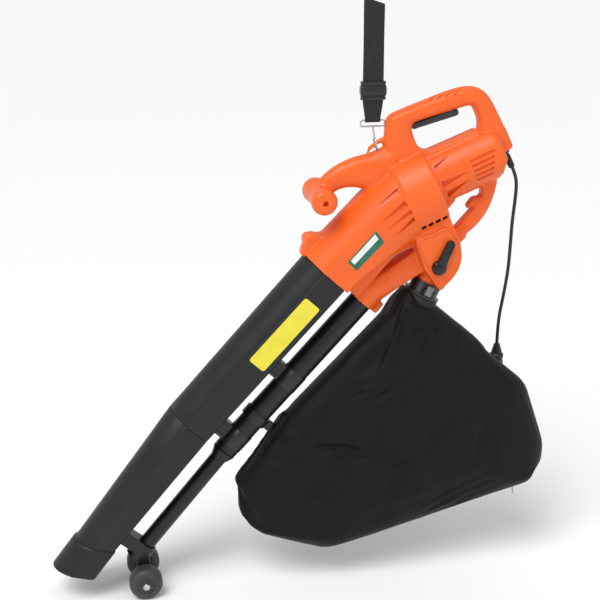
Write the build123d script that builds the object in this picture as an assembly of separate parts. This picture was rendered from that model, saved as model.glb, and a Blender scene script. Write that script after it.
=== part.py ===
from build123d import *
from math import atan2, cos, degrees, pi, radians, sin, sqrt, tan
import os

# Corded leaf blower and vacuum. Millimetres, +Z up, -X to the nozzle, -Y to the user's left.
# The origin is the middle of the rear grip. The head is drawn in the motor's own frame:
# x back along the motor axis from the fan casing's front, y up from that axis, z to the left.

# Pose, in degrees and millimetres
MOTOR_TILT = 23.0
TUBE_TILT = 47.5
LOWER_BEND = 5.0
BLOWER_BEND = 2.6
GRIP_BACK = 116.0
GRIP_RISE = 113.0

# Walls and gaps
WALL = 4.0
TUBE_WALL = 2.5
SEAM = 0.3
SLIP = 0.3
RUN_FIT = 0.05
SEAT = 0.05
EDGE_ROUND = 1.0
CUT_OVER = 1.0

# Fan casing and selector box
SCROLL_R = 72.0
SCROLL_DROP = 12.0
CASING_LEN = 57.0
BOX_HALF = 54.0
BOX_TOP = 66.0
BOX_DEPTH = 106.0
BOX_LEAN = 15.0
BOX_CORNER = 14.0
INLET_R = 40.0
GILL_ROW = 50.0
GILL_LEN = 9.0
GILL_TALL = 4.5
GILL_COUNT = 4
GILL_DEEP = 1.6

# Suction tube and its collar
COLLAR_FRONT = 170.0
COLLAR_DROP = 59.0
SOCKET = 25.0
TUBE_HALF = 48.0
TUBE_DOME = 36.6
TUBE_DEEP = 44.0
TUBE_SPRING = 7.0
JOINT_HALF = 45.0
JOINT_DOME = 32.6
UPPER_LEN = 351.0
LOWER_HALF = 38.0
LOWER_DOME = 28.0
LOWER_DEEP = 33.0
LOWER_LEN = 288.0
LIP_LEN = 8.0
CAP_GROW = 2.0
CAP_LEN = 62.0
CAP_SLANT = 66.0
LUG_LEN = 34.0
LUG_TALL = 15.0
LUG_HALF = 11.0

# Blower tube, its channel and the clips
BLOWER_GAP = 94.0
BLOWER_R = 21.0
BLOWER_LEN = 352.0
OUTLET_R = 14.5
OUTLET_LEN = 258.0
CONE_LEN = 18.0
CHANNEL_DROP = 114.0
CHANNEL_TALL = 21.0
CHANNEL_HALF = 24.0
FOOT_LEN = 22.0
FOOT_TALL = 13.0
FOOT_HALF = 9.0
CLIP_BACK = (186.0, 45.0)
CLIP_LEN = 34.0
CLIP_WALL = 3.0
CLIP_WEB = 12.0

# Running gear
WHEEL_R = 29.0
WHEEL_W = 34.0
WHEEL_ROUND = 10.0
AXLE_R = 4.0
AXLE_ALONG = 268.0
AXLE_DROP = 30.5
BRACKET_HALF = 20.0
BRACKET_LEN = 34.0
BRACKET_WALL = 5.0
BRACKET_RISE = 17.0
AXLE_CAP_R = 6.0
AXLE_CAP_LEN = 4.0
SIDE_GAP = 1.0

# Motor barrel, strut and cable hook
BARREL_R = 46.0
BARREL_LEN = 129.0
BARREL_ROUND = 12.0
STRUT_HALF = 13.0
STRUT_W = 27.0
STRUT_DROP = 76.0
STRUT_BACK = 156.0
STRUT_ROUND = 5.0
HOOK_W = 9.0
HOOK_REACH = 30.0
HOOK_ROUND = 1.5
VENT_COUNT = 5
VENT_LEN = 46.0
VENT_TALL = 3.6
VENT_PITCH = 8.0
VENT_START = 123.0
VENT_STEP = 4.0
VENT_TOP = 14.0

# Rear handle
HANDLE_HALF = 17.0
HANDLE_ROUND = 11.0
HOLE_START = 61.0
HOLE_LEN = 108.0
HOLE_BASE = 50.0
HOLE_TALL = 47.0
HOLE_FALL = 11.0
HOLE_CORNER = 13.0
GRIP_THICK = 40.0
GRIP_ROOF = 12.0
POST_FOOT = 57.0
POST_HEAD = 28.0
REAR_POST = 37.0
REAR_LOW = 8.0
REAR_FOOT = 20.0

# Trigger and switch
TRIGGER_LEN = 76.0
TRIGGER_HALF = 8.0
TRIGGER_SHOW = 9.0
TRIGGER_TAIL = 4.0
TRIGGER_PIN_R = 2.0
TRIGGER_ROUND = 1.2
SWITCH_LEN = 34.0
SWITCH_TALL = 12.0
SWITCH_HALF = 9.0

# Front arm, cross bar and strap eye
BAR_FRONT = 124.0
BAR_RISE = 55.0
BAR_R = 17.0
BAR_HALF = 50.0
BAR_ROUND = 5.0
ARM_HALF = 13.0
ARM_ROUND = 8.0
ARM_THICK = 36.0
ARM_RISE = 86.0
ARM_BACK = 8.0
EYE_HALF = 4.0
EYE_PLACE = 7.0
EYE_RISE = 90.0
EYE_SLOT_R = 4.2
EYE_SLOT_LEN = 18.0
EYE_WALL = 6.0
EYE_TILT = 12.0

# Rotor and stator
SHAFT_R = 4.0
FAN_R = 52.0
FAN_START = 9.0
FAN_DEEP = 38.0
FAN_PLATE = 3.0
FAN_HUB_R = 12.0
FAN_BLADES = 9
BLADE_T = 2.4
BLADE_SWEEP = 35.0
NUT_R = 7.0
NUT_LEN = 6.0
BEARING_R = 11.0
BEARING_LEN = 8.0
STATOR_START = 94.0
STATOR_LEN = 44.0
STATOR_BORE = 24.0
WINDING_LEN = 11.0
ARMATURE_R = 23.4
ARMATURE_SLOTS = 12
COMMUTATOR_R = 12.0
COMMUTATOR_LEN = 13.0
COOLING_R = 36.0
COOLING_LEN = 9.0
BRUSH_W = 9.0
BRUSH_LEN = 20.0
BRACKET_T = 5.0
BRACKET_WINDOWS = 6

# Selector
SELECTOR_BACK = 7.5
SELECTOR_DROP = 127.0
SELECTOR_ANGLE = 43.0
PLATE_T = 2.0
RIM_T = 1.5
RIM_W = 2.5
PLATE_INSET = 4.0
LEVER_LEN = 44.0
LEVER_HUB_R = 12.5
LEVER_TIP_R = 7.5
LEVER_T = 7.0
SPINDLE_R = 5.0
FLAP_LEN = 38.0
FLAP_T = 2.5
FLAP_ANGLE = 97.0

# Bag and its adapter
SPIGOT_FRONT = 4.0
SPIGOT_DROP = 158.0
SPIGOT_ANGLE = 40.0
SPIGOT_R = 23.0
SPIGOT_LEN = 30.0
ADAPTER_WALL = 3.0
ADAPTER_LEN = 40.0
ADAPTER_START = 9.0
FLANGE_R = 32.0
FLANGE_T = 4.0
LATCH_LEN = 22.0
LATCH_W = 12.0
LATCH_T = 4.0
LATCH_PIN_R = 1.6
LATCH_ROUND = 1.5
BAG_HALF = 56.0
BAG_EDGE = 7.0
BAG_WIDE = 568.0
BAG_TALL = 486.0
BAG_CENTRE = (-0.1, -0.58)
BAG_SWELL = ((0.5, 0.96), (0.82, 0.82), (1.0, 0.52))
BAG_FOLDS = (
    ((0.01, -0.05, 1.15), (-0.35, -0.34, 0.95), 27.0),
    ((-0.46, -0.475, 1.12), (-0.1, -0.575, 1.25), 19.0),
    ((0.19, -0.3, 1.2), (-0.22, -0.81, 1.2), 20.0),
    ((0.28, -0.36, 1.1), (0.15, -0.65, 1.2), 19.0),
)
BAG_NECK_START = 34.0
BAG_NECK_LEN = 100.0
BAG_NECK_R = 29.5
BAG_THROAT_R = 46.0
BAG_SHAPE = (
    (-0.045, 0.043),
    (-0.425, -0.412),
    (-0.571, -0.667),
    (-0.568, -0.794),
    (-0.51, -0.868),
    (-0.298, -0.957),
    (0.388, -0.733),
    (0.43, -0.615),
    (0.353, -0.352),
    (0.045, -0.043),
)
BAG_CORNERS = (6.0, 60.0, 40.0, 22.0, 30.0, 60.0, 18.0, 50.0, 60.0, 6.0)
HOOK_RING = 3.0
HOOK_BACK = 89.0
HOOK_LEN = 18.0
HOOK_TAB = 30.0
HOOK_TAB_HALF = 3.0
ZIP_HALF = 5.0
ZIP_T = 2.0
ZIP_SPAN = (0.08, 0.95)
ZIP_SLIDER_LEN = 12.0
ZIP_SLIDER_TALL = 7.0
PULL_LEN = 24.0
PULL_W = 7.0
PULL_T = 1.6
PULL_PIN_R = 1.0
PULL_EYE = 1.9

# Lead and plug
GLAND_R = 5.0
GLAND_LEN = 24.0
GLAND_FOOT_R = 8.0
GLAND_FOOT = 6.0
GLAND_EDGE = 13.0
GLAND_ANGLE = 85.0
GLAND_DEEP = 4.0
CORD_INSIDE = 40.0
CORD_LEAD = 20.0
CORD_FALLS = (
    (11.5, 6.0, -52.0),
    (11.5, 18.0, -100.0),
    (16.0, 34.0, -150.0),
    (19.0, 48.0, -200.0),
    (16.0, 58.0, -250.0),
    (11.0, 66.0, -300.0),
    (11.0, 66.0, -343.0),
)
CLAMP_LEN = 8.0
CLAMP_TALL = 5.0
CORD_R = 3.0
PLUG_R = 13.0
PLUG_NECK_R = 5.5
PLUG_LEN = 42.0
PLUG_NECK = 18.0
PLUG_ROUND = 3.0
PIN_R = 2.4
PIN_LEN = 19.0
PIN_PITCH = 19.0

# Strap
WIRE_R = 1.4
RING_R = 9.0
RING_CORNER = 6.0
SHANK_LEN = 20.0
HOOK_LEAN = 10.0
LOOP_HALF = 20.0
LOOP_TALL = 10.0
LOOP_CORNER = 2.0
STRAP_HALF = 16.5
STRAP_T = 1.6
STRAP_LEN = 190.0
STRAP_GAP = 2.0
SLIDER_RISE = 36.0
SLIDER_TALL = 26.0
SLIDER_BAR = 4.0
SLIDER_T = 2.2

# Screws
SCREW_R = 1.6
SCREW_HEAD_R = 3.6
SCREW_HEAD = 2.4
SCREW_LEN = 14.0

# Values that follow
MOTOR = Plane(
    origin=(
        GRIP_RISE * sin(radians(MOTOR_TILT)) - GRIP_BACK * cos(radians(MOTOR_TILT)),
        0,
        -GRIP_RISE * cos(radians(MOTOR_TILT)) - GRIP_BACK * sin(radians(MOTOR_TILT)),
    ),
    x_dir=(cos(radians(MOTOR_TILT)), 0, sin(radians(MOTOR_TILT))),
    z_dir=(0, -1, 0),
).location
TUBE_ANGLE = radians(TUBE_TILT - MOTOR_TILT)
TUBE = Plane(
    origin=(-COLLAR_FRONT, -COLLAR_DROP, 0),
    x_dir=(-cos(TUBE_ANGLE), -sin(TUBE_ANGLE), 0),
    z_dir=(0, 0, -1),
).location
LOWER = TUBE * Pos(UPPER_LEN, 0, 0) * Rot(0, 0, -LOWER_BEND)
BLOWER = TUBE * Pos(0, -BLOWER_GAP, 0)
OUTLET = BLOWER * Pos(BLOWER_LEN, 0, 0) * Rot(0, 0, -BLOWER_BEND)
SPIGOT = Pos(-SPIGOT_FRONT, -SPIGOT_DROP, 0) * Rot(0, 0, SPIGOT_ANGLE - 180)
GLAND = Pos(HOLE_START + HOLE_LEN + REAR_POST - GLAND_EDGE, -REAR_FOOT * 0.8, 0) * Rot(0, 0, -GLAND_ANGLE)
HOLE_END = HOLE_START + HOLE_LEN
HOLE_TOP = HOLE_BASE + HOLE_TALL
GRIP_TOP = HOLE_TOP + GRIP_THICK
ROOM_TOP = GRIP_TOP - GRIP_ROOF
REAR_FACE = HOLE_END + REAR_POST
BARREL_END = CASING_LEN + BARREL_LEN
LOW = (Align.CENTER, Align.CENTER, Align.MIN)


# Shapes that recur

def rod(radius, start, end, rise=0.0, left=0.0):
    """Cylinder along x between two stations."""
    return Pos(start, rise, left) * Rot(0, 90, 0) * Cylinder(radius, end - start, align=LOW)


def tube(outer, inner, start, end, rise=0.0, left=0.0):
    """Straight round tube along x."""
    return rod(outer, start, end, rise, left) - rod(inner, start, end, rise, left)


def pin(radius, back, rise, start, end):
    """Cylinder across the tool between two distances to the left."""
    return Pos(back, rise, start) * Cylinder(radius, end - start, align=LOW)


def block(back, rise, left):
    """Box between pairs of stations on the three axes."""
    size = [high - low for low, high in (back, rise, left)]
    middle = [(high + low) / 2 for low, high in (back, rise, left)]
    return Pos(*middle) * Box(*size)


def outline(points, corner):
    """Face in the median plane with rounded corners."""
    return make_face(FilletPolyline(*points, radius=corner, close=True))


def plate(points, corner, half):
    """Outline drawn out to both sides of the median plane."""
    return extrude(outline(points, corner), half, both=True)


def station(along):
    """Section plane across x: drawn x to the left, drawn y up."""
    return Plane(origin=(along, 0, 0), x_dir=(0, 0, -1), z_dir=(1, 0, 0)).location


def arch(half, dome, deep):
    """Arched section with a flat floor and upright sides up to the crease under its dome."""
    crease = TUBE_SPRING
    sides = Polyline((-half, crease), (-half, -deep), (half, -deep), (half, crease))
    return make_face(sides + ThreePointArc((half, crease), (0, dome), (-half, crease)))


def round_arch(radius):
    """Circle in four arcs that pair with the four edges of an arch."""
    edges = Curve()
    for start, end in ((170, 225), (225, 315), (315, 370), (10, 170)):
        edges += CenterArc((0, 0), radius, start, end - start)
    return make_face(edges)


def fan_front(along, drop):
    """Section plane at the fan casing's front, facing the collar."""
    return Plane(origin=(along, -drop, 0), x_dir=(0, 0, 1), z_dir=(-1, 0, 0)).location


# Housing

def box_outline(inset):
    """Selector box under the fan casing, seen from the left."""
    low = BOX_TOP + BOX_DEPTH
    points = [
        (inset - BOX_LEAN * 0.7, inset - BOX_TOP),
        (CASING_LEN - inset, inset - BOX_TOP),
        (CASING_LEN + 2 - inset, -BOX_TOP - BOX_DEPTH * 0.37),
        (CASING_LEN * 0.8 - inset, -BOX_TOP - BOX_DEPTH * 0.73),
        (CASING_LEN * 0.42 - inset / 2, inset * 1.2 - low + BOX_LEAN * 0.6),
        (inset - BOX_LEAN / 3, inset * 1.6 - low),
        (inset - BOX_LEAN, -BOX_TOP - BOX_DEPTH / 2),
    ]
    return outline(points, BOX_CORNER / 2 - inset / 2)


def casing(inset):
    """Fan scroll with its outlet and the selector box below."""
    scroll = rod(SCROLL_R - inset, inset, CASING_LEN - inset, rise=-SCROLL_DROP)
    half = BOX_HALF - inset
    outlet = block((inset, CASING_LEN - inset), (-BOX_TOP - BOX_CORNER, -SCROLL_DROP), (-half, half))
    box = extrude(box_outline(inset), half, both=True)
    return scroll + outlet + box


def intake(inset):
    """Duct from the tube's collar to the fan casing."""
    grow = WALL + SLIP - inset
    near = TUBE * station(-SOCKET) * arch(TUBE_HALF + grow, TUBE_DOME + grow, TUBE_DEEP + grow)
    far = fan_front(WALL, SCROLL_DROP) * round_arch(SCROLL_R - WALL / 2 - inset)
    return loft([near, far], ruled=True)


def collar():
    """Straight collar round the suction tube's end, with the lug on top."""
    grow = WALL + SLIP
    face = TUBE * station(-SOCKET) * arch(TUBE_HALF + grow, TUBE_DOME + grow, TUBE_DEEP + grow)
    lug_points = [
        (LUG_LEN * -0.75, TUBE_DOME - WALL),
        (LUG_LEN * 0.1, TUBE_DOME - WALL),
        (LUG_LEN * 0.15, TUBE_DOME + LUG_TALL * 0.55),
        (LUG_LEN * -0.2, TUBE_DOME + LUG_TALL),
        (LUG_LEN * -0.7, TUBE_DOME + LUG_TALL * 0.8),
    ]
    lug = TUBE * plate(lug_points, WALL / 2, LUG_HALF)
    return extrude(face, SOCKET, dir=(-cos(TUBE_ANGLE), -sin(TUBE_ANGLE), 0)) + lug


def collar_void():
    """Room for the suction tube's end and the air way behind it."""
    face = TUBE * station(-SOCKET) * arch(TUBE_HALF + SLIP, TUBE_DOME + SLIP, TUBE_DEEP + SLIP)
    socket = extrude(face, SOCKET * 2, dir=(-cos(TUBE_ANGLE), -sin(TUBE_ANGLE), 0))
    near = TUBE * station(-SOCKET) * arch(
        TUBE_HALF - TUBE_WALL, TUBE_DOME - TUBE_WALL, TUBE_DEEP - TUBE_WALL
    )
    far = fan_front(0, 0) * round_arch(INLET_R + WALL)
    return socket + loft([near, far], ruled=True) + rod(INLET_R, -WALL, WALL * 2)


def channel(inset):
    """Air channel from the selector box to the blower tube's socket."""
    radius = BLOWER_R + WALL + SLIP if inset == 0 else BLOWER_R - TUBE_WALL
    near = BLOWER * station(-SOCKET) * round_arch(radius)
    corner = fan_front(-BOX_LEAN / 2, CHANNEL_DROP)
    half, tall = CHANNEL_HALF - inset, CHANNEL_TALL - inset
    edge = Polyline((-half, tall), (-half, -tall), (half, -tall), (half, tall), close=True)
    return loft([near, corner * make_face(edge)], ruled=True)


def blower_socket():
    """Straight socket of the blower tube with its clip foot."""
    ring = rod(BLOWER_R + WALL + SLIP, -SOCKET, 0)
    foot = block(
        (-FOOT_LEN, 0), (-BLOWER_R - FOOT_TALL, -BLOWER_R), (-FOOT_HALF, FOOT_HALF)
    )
    foot = fillet(foot.edges().filter_by(Axis.Z), WALL / 2)
    return BLOWER * (ring + foot)


def barrel():
    """Motor barrel behind the fan casing."""
    body = rod(BARREL_R, CASING_LEN - WALL, BARREL_END)
    return fillet(body.edges().sort_by(Axis.X)[-1], BARREL_ROUND)


def handle():
    """Rear handle: front post, grip and rear post round the hand hole."""
    points = [
        (HOLE_START - POST_FOOT, BARREL_R * 0.6),
        (HOLE_START - POST_FOOT + WALL, HOLE_BASE + HOLE_TALL * 0.9),
        (HOLE_START - POST_HEAD, GRIP_TOP + WALL / 2),
        ((HOLE_START + HOLE_END) / 2, GRIP_TOP - HOLE_FALL * 0.1),
        (HOLE_END + REAR_POST * 0.3, GRIP_TOP - HOLE_FALL * 1.7),
        (REAR_FACE - REAR_LOW, GRIP_TOP - GRIP_THICK * 1.35),
        (REAR_FACE, HOLE_BASE * 0.7),
        (REAR_FACE + WALL / 2, -REAR_LOW),
        (BARREL_END, -REAR_FOOT),
        (BARREL_END - BARREL_ROUND * 1.5, -REAR_FOOT),
        (HOLE_END - WALL, BARREL_R * 0.3),
        (HOLE_START, BARREL_R * 0.3),
    ]
    body = plate(points, HANDLE_ROUND, HANDLE_HALF)
    rims = body.faces().sort_by(Axis.Z)
    body = fillet(rims[0].edges() + rims[-1].edges(), HANDLE_ROUND)
    hole = plate(hole_points(0), HOLE_CORNER, HANDLE_HALF * 2)
    return body - hole


def hole_points(inset):
    """Corners of the hand hole."""
    return [
        (HOLE_START + inset, HOLE_BASE + inset),
        (HOLE_END - inset, HOLE_BASE + inset - WALL / 2),
        (HOLE_END + WALL / 2 - inset, HOLE_BASE + HOLE_TALL * 0.25),
        (HOLE_END - inset, HOLE_TOP - HOLE_FALL - inset),
        (HOLE_START + WALL - inset, HOLE_TOP - inset),
    ]


def grip_void():
    """Room in the grip for the trigger and switch, and the wire way down the rear post."""
    floor = HOLE_TOP + WALL
    points = [
        (HOLE_START + WALL, floor),
        (HOLE_END, floor - HOLE_FALL),
        (HOLE_END, ROOM_TOP - HOLE_FALL * 1.4),
        ((HOLE_START + HOLE_END) / 2, ROOM_TOP),
        (HOLE_START + WALL, ROOM_TOP),
    ]
    room = plate(points, EDGE_ROUND, SWITCH_HALF + SLIP)
    way = block(
        (HOLE_END + WALL, HOLE_END + REAR_POST * 0.75), (0, floor), (-GLAND_R, GLAND_R)
    )
    slot = block(
        (HOLE_START + WALL, HOLE_START + WALL + TRIGGER_LEN + TRIGGER_TAIL),
        (HOLE_TOP - HOLE_FALL * 2, floor + WALL),
        (-TRIGGER_HALF - SLIP, TRIGGER_HALF + SLIP),
    )
    return room + way + slot


def arm():
    """Front arm with its cross bar."""
    points = [
        (-BAR_FRONT, BAR_RISE - BAR_R * 0.4),
        (-BAR_FRONT * 0.68, ARM_RISE - ARM_THICK),
        (-BAR_FRONT * 0.42, ARM_RISE - ARM_THICK * 1.25),
        (-BAR_FRONT * 0.2, BARREL_R * 0.4),
        (ARM_BACK, BARREL_R * 0.5),
        (ARM_BACK, ARM_RISE),
        (-BAR_FRONT * 0.25, ARM_RISE),
        (-BAR_FRONT * 0.56, ARM_RISE + WALL / 2),
        (-BAR_FRONT * 0.93, BAR_RISE + ARM_THICK * 0.7),
        (-BAR_FRONT, BAR_RISE + BAR_R * 0.7),
    ]
    body = plate(points, ARM_ROUND / 2, ARM_HALF)
    rims = body.faces().sort_by(Axis.Z)
    body = fillet(rims[0].edges() + rims[-1].edges(), ARM_ROUND / 2)
    bar = pin(BAR_R, -BAR_FRONT, BAR_RISE, -BAR_HALF, BAR_HALF)
    return body + fillet(bar.edges().filter_by(GeomType.CIRCLE), BAR_ROUND)


def eye():
    """Strap eye where the arm meets the front post."""
    reach = EYE_SLOT_LEN / 2 + EYE_SLOT_R + EYE_WALL
    rise = EYE_SLOT_R + EYE_WALL
    points = [(-reach, -rise), (-reach, 0), (-reach * 0.5, rise), (reach, rise), (reach, -rise)]
    slot = SlotOverall(EYE_SLOT_LEN + 2 * EYE_SLOT_R, 2 * EYE_SLOT_R)
    body = plate(points, EYE_WALL / 2, EYE_HALF) - extrude(slot, EYE_HALF * 2, both=True)
    return Pos(-EYE_PLACE, EYE_RISE, 0) * Rot(0, 0, EYE_TILT) * body


def strut():
    """Rear strut from the barrel's end to the selector box, with the cable hook."""
    low = BARREL_R + STRUT_DROP
    inner = STRUT_BACK - STRUT_W
    points = [
        (STRUT_BACK + WALL * 2, -BARREL_R * 0.7),
        (STRUT_BACK, -BARREL_R * 1.35),
        (STRUT_BACK - STRUT_W * 0.45, -low + STRUT_DROP * 0.57),
        (STRUT_BACK - STRUT_W * 2.2, -low + STRUT_DROP * 0.13),
        (CASING_LEN + WALL * 2, -low),
        (CASING_LEN - WALL * 2, -low),
        (CASING_LEN - WALL * 2, -low + STRUT_W),
        (CASING_LEN + WALL * 2, -low + STRUT_W),
        (inner - STRUT_W * 0.8, -low + STRUT_W * 1.75),
        (inner, -BARREL_R * 1.3),
        (inner + WALL, -BARREL_R * 0.7),
    ]
    body = plate(points, STRUT_ROUND, STRUT_HALF)
    rims = body.faces().sort_by(Axis.Z)
    body = fillet(rims[0].edges() + rims[-1].edges(), STRUT_ROUND * 0.7)
    root = (inner + WALL, -BARREL_R * 1.38)
    finger = [
        root,
        (inner - HOOK_REACH * 0.55, root[1] + WALL * 1.4),
        (inner - HOOK_REACH, root[1] - HOOK_W * 0.2),
        (inner - HOOK_REACH * 1.15, root[1] - HOOK_W * 0.8),
        (inner - HOOK_REACH, root[1] - HOOK_W * 1.15),
        (inner - HOOK_REACH * 0.55, root[1] - HOOK_W * 0.75),
        (inner - HOOK_REACH * 0.35, root[1] - HOOK_W * 1.6),
    ]
    return body + plate(finger, HOOK_ROUND, STRUT_HALF * 0.7)


def spigot_bore():
    """Air way through the bag spigot."""
    return SPIGOT * rod(SPIGOT_R - TUBE_WALL, -SPIGOT_R, SPIGOT_LEN * 2)


def vents():
    """Cooling slots on both sides of the barrel."""
    cut = Part()
    for step in range(VENT_COUNT):
        length = VENT_LEN - step * VENT_STEP
        slot = SlotOverall(length, VENT_TALL)
        middle = VENT_START + length / 2
        cut += Pos(middle, VENT_TOP - step * VENT_PITCH, 0) * extrude(slot, BARREL_R * 2, both=True)
    return cut - rod(BARREL_R - WALL * 1.5, VENT_START - VENT_LEN, BARREL_END + VENT_LEN)


def gills():
    """Shallow recesses in a row across the fan casing's left side."""
    cut = Part()
    pitch = (CASING_LEN - GILL_LEN * 2) / (GILL_COUNT - 1)
    reach = sqrt(SCROLL_R ** 2 - (GILL_ROW - SCROLL_DROP) ** 2)
    for step in range(GILL_COUNT):
        middle = GILL_LEN + step * pitch
        cut += block(
            (middle - GILL_LEN / 2, middle + GILL_LEN / 2),
            (-GILL_ROW - GILL_TALL / 2, -GILL_ROW + GILL_TALL / 2),
            (reach - GILL_DEEP, reach + GILL_DEEP * 2),
        )
    return cut


def screw_places():
    """Screws in from the right: station back, station up, distance out to the flat surface."""
    return [
        (HOLE_START - POST_FOOT / 2, HOLE_BASE + HOLE_TALL / 2, HANDLE_HALF),
        (HOLE_END + REAR_POST * 0.55, HOLE_BASE, HANDLE_HALF),
        (HOLE_END + REAR_POST * 0.1, GRIP_TOP - GRIP_THICK * 0.8, HANDLE_HALF),
        (-BAR_FRONT * 0.55, ARM_RISE - ARM_THICK / 2, ARM_HALF),
        (STRUT_BACK - STRUT_W * 0.45, -BARREL_R * 1.3, STRUT_HALF),
        (STRUT_BACK - STRUT_W * 2.1, -BARREL_R - STRUT_DROP + STRUT_W * 0.75, STRUT_HALF),
    ]


def screws(gap):
    """Housing screws, or their holes with a gap round them."""
    body = Part()
    for back, rise, face in screw_places():
        head_end = face - SCREW_HEAD / 2 if gap == 0 else face + SCREW_HEAD
        body += pin(SCREW_R + gap, back, rise, face - SCREW_LEN - SCREW_HEAD - gap, face - SCREW_HEAD)
        body += pin(SCREW_HEAD_R + gap, back, rise, face - SCREW_HEAD * 1.5, head_end)
    return mirror(body, about=Plane.XY)


def screw_drives():
    """Cross recesses of the screw heads."""
    cut = Part()
    arm_long, arm_wide = SCREW_HEAD_R * 0.6, SCREW_R * 0.3
    for back, rise, face in screw_places():
        for wide, tall in ((arm_long, arm_wide), (arm_wide, arm_long)):
            cut += block(
                (back - wide, back + wide), (rise - tall, rise + tall), (face - SCREW_HEAD, face)
            )
    return mirror(cut, about=Plane.XY)


def housing():
    """Both shells in one, before they part."""
    body = casing(0) + intake(0) + collar() + barrel() + handle() + arm() + eye() + strut()
    body += channel(0) + blower_socket()
    body += SPIGOT * rod(SPIGOT_R, -SPIGOT_R / 2, SPIGOT_LEN)
    boss = rod(BEARING_R + WALL, CASING_LEN - WALL, CASING_LEN + BEARING_LEN)
    air = casing(WALL) + collar_void() + channel(WALL) + spigot_bore()
    air += BLOWER * rod(BLOWER_R + SLIP, -SOCKET, SOCKET)
    room = rod(BARREL_R - WALL, CASING_LEN, BARREL_END - WALL) - boss
    body -= air + room + grip_void() + vents() + gills() + screws(SLIP)
    body -= rod(BEARING_R + SEAT, CASING_LEN, CASING_LEN + BEARING_LEN + WALL)
    body -= rod(SHAFT_R * 2, 0, CASING_LEN * 1.5)
    body -= pin(SPINDLE_R + RUN_FIT, SELECTOR_BACK, -SELECTOR_DROP, -BOX_HALF + WALL / 2, BOX_HALF * 2)
    body -= pin(TRIGGER_PIN_R + SEAT, *trigger_pivot(), -TRIGGER_HALF - WALL, TRIGGER_HALF + WALL)
    body -= gland_hole()
    for side in (-1, 1):
        body -= pin(SCREW_HEAD_R, -BAR_FRONT, BAR_RISE, side * BAR_HALF - WALL, side * BAR_HALF + WALL)
    return body


def shell(body, keep):
    """One half of the housing, cut back by half the parting line."""
    side = 1 if keep == Keep.TOP else -1
    return split(body, bisect_by=Plane.XY.offset(side * SEAM / 2), keep=keep)


# Trigger and switch

def trigger_pivot():
    """Place of the trigger's pin at the rear end of the trigger."""
    slope = HOLE_FALL / HOLE_LEN
    along = HOLE_START + WALL + TRIGGER_LEN - TRIGGER_TAIL
    return along, HOLE_TOP - slope * (along - HOLE_START) + WALL + TRIGGER_PIN_R


def trigger():
    """Trigger blade that hangs below the grip and turns on a pin at its rear end."""
    back, rise = trigger_pivot()
    front = HOLE_START + WALL + SLIP * 3
    points = [
        (back + TRIGGER_TAIL, rise - TRIGGER_PIN_R - TRIGGER_TAIL / 2),
        (back + TRIGGER_TAIL, rise + TRIGGER_TAIL / 2),
        (back, rise + TRIGGER_TAIL),
        (front, HOLE_TOP + WALL * 1.4),
        (front, HOLE_TOP - TRIGGER_SHOW),
        (front + TRIGGER_LEN * 0.25, HOLE_TOP - TRIGGER_SHOW * 1.2),
        (back - TRIGGER_LEN * 0.2, rise - TRIGGER_SHOW),
    ]
    body = plate(points, TRIGGER_ROUND * 1.25, TRIGGER_HALF)
    rims = body.faces().sort_by(Axis.Z)
    body = fillet(rims[0].edges() + rims[-1].edges(), TRIGGER_ROUND)
    return body - pin(TRIGGER_PIN_R + RUN_FIT, back, rise, -TRIGGER_HALF * 2, TRIGGER_HALF * 2)


def trigger_pin():
    """Pin in both shells."""
    return pin(TRIGGER_PIN_R, *trigger_pivot(), -TRIGGER_HALF - WALL + SLIP, TRIGGER_HALF + WALL - SLIP)


def switch_block():
    """Switch above the trigger's middle."""
    front = HOLE_START + HOLE_LEN * 0.32
    roof = ROOM_TOP - HOLE_FALL * 0.5
    body = block((front, front + SWITCH_LEN), (roof - SWITCH_TALL, roof), (-SWITCH_HALF, SWITCH_HALF))
    return fillet(body.edges().filter_by(Axis.Z), EDGE_ROUND)


# Rotor

def impeller():
    """Open radial fan on the motor shaft."""
    back = FAN_START + FAN_DEEP
    body = rod(FAN_R, back, back + FAN_PLATE) + rod(FAN_HUB_R, FAN_START, back)
    sweep_by = radians(BLADE_SWEEP)
    reach = FAN_R - BLADE_T
    tip = (reach * cos(sweep_by), reach * sin(sweep_by))
    curve = ThreePointArc((FAN_HUB_R - BLADE_T, 0), (reach * 0.6, reach * 0.14), tip)
    blade = extrude(station(FAN_START) * trace(curve, BLADE_T), FAN_DEEP, dir=(1, 0, 0))
    for step in range(FAN_BLADES):
        body += Rot(360 * step / FAN_BLADES, 0, 0) * blade
    return on_shaft(body)


def impeller_nut():
    """Nut in front of the fan."""
    face = station(FAN_START - NUT_LEN) * RegularPolygon(NUT_R, 6)
    return on_shaft(extrude(face, NUT_LEN - SEAT, dir=(1, 0, 0)))


def motor_shaft():
    """Shaft from the nut to the rear bearing."""
    return rod(SHAFT_R, FAN_START - NUT_LEN - EDGE_ROUND, rear_bearing_start() + BEARING_LEN)


def rear_bearing_start():
    """Front of the rear bearing."""
    return BARREL_END - WALL - BEARING_LEN - 2 * SLIP


def on_shaft(shape):
    """Bore a rotor piece for the shaft."""
    return shape - rod(SHAFT_R + SEAT, 0, BARREL_END)


def armature_core():
    """Laminated armature with wire slots."""
    body = rod(ARMATURE_R, STATOR_START, STATOR_START + STATOR_LEN)
    end = STATOR_START + STATOR_LEN
    notch = rod(BLADE_T / 2, STATOR_START - CUT_OVER, end + CUT_OVER, rise=ARMATURE_R)
    for step in range(ARMATURE_SLOTS):
        body -= Rot(360 * step / ARMATURE_SLOTS, 0, 0) * notch
    return on_shaft(body)


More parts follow.
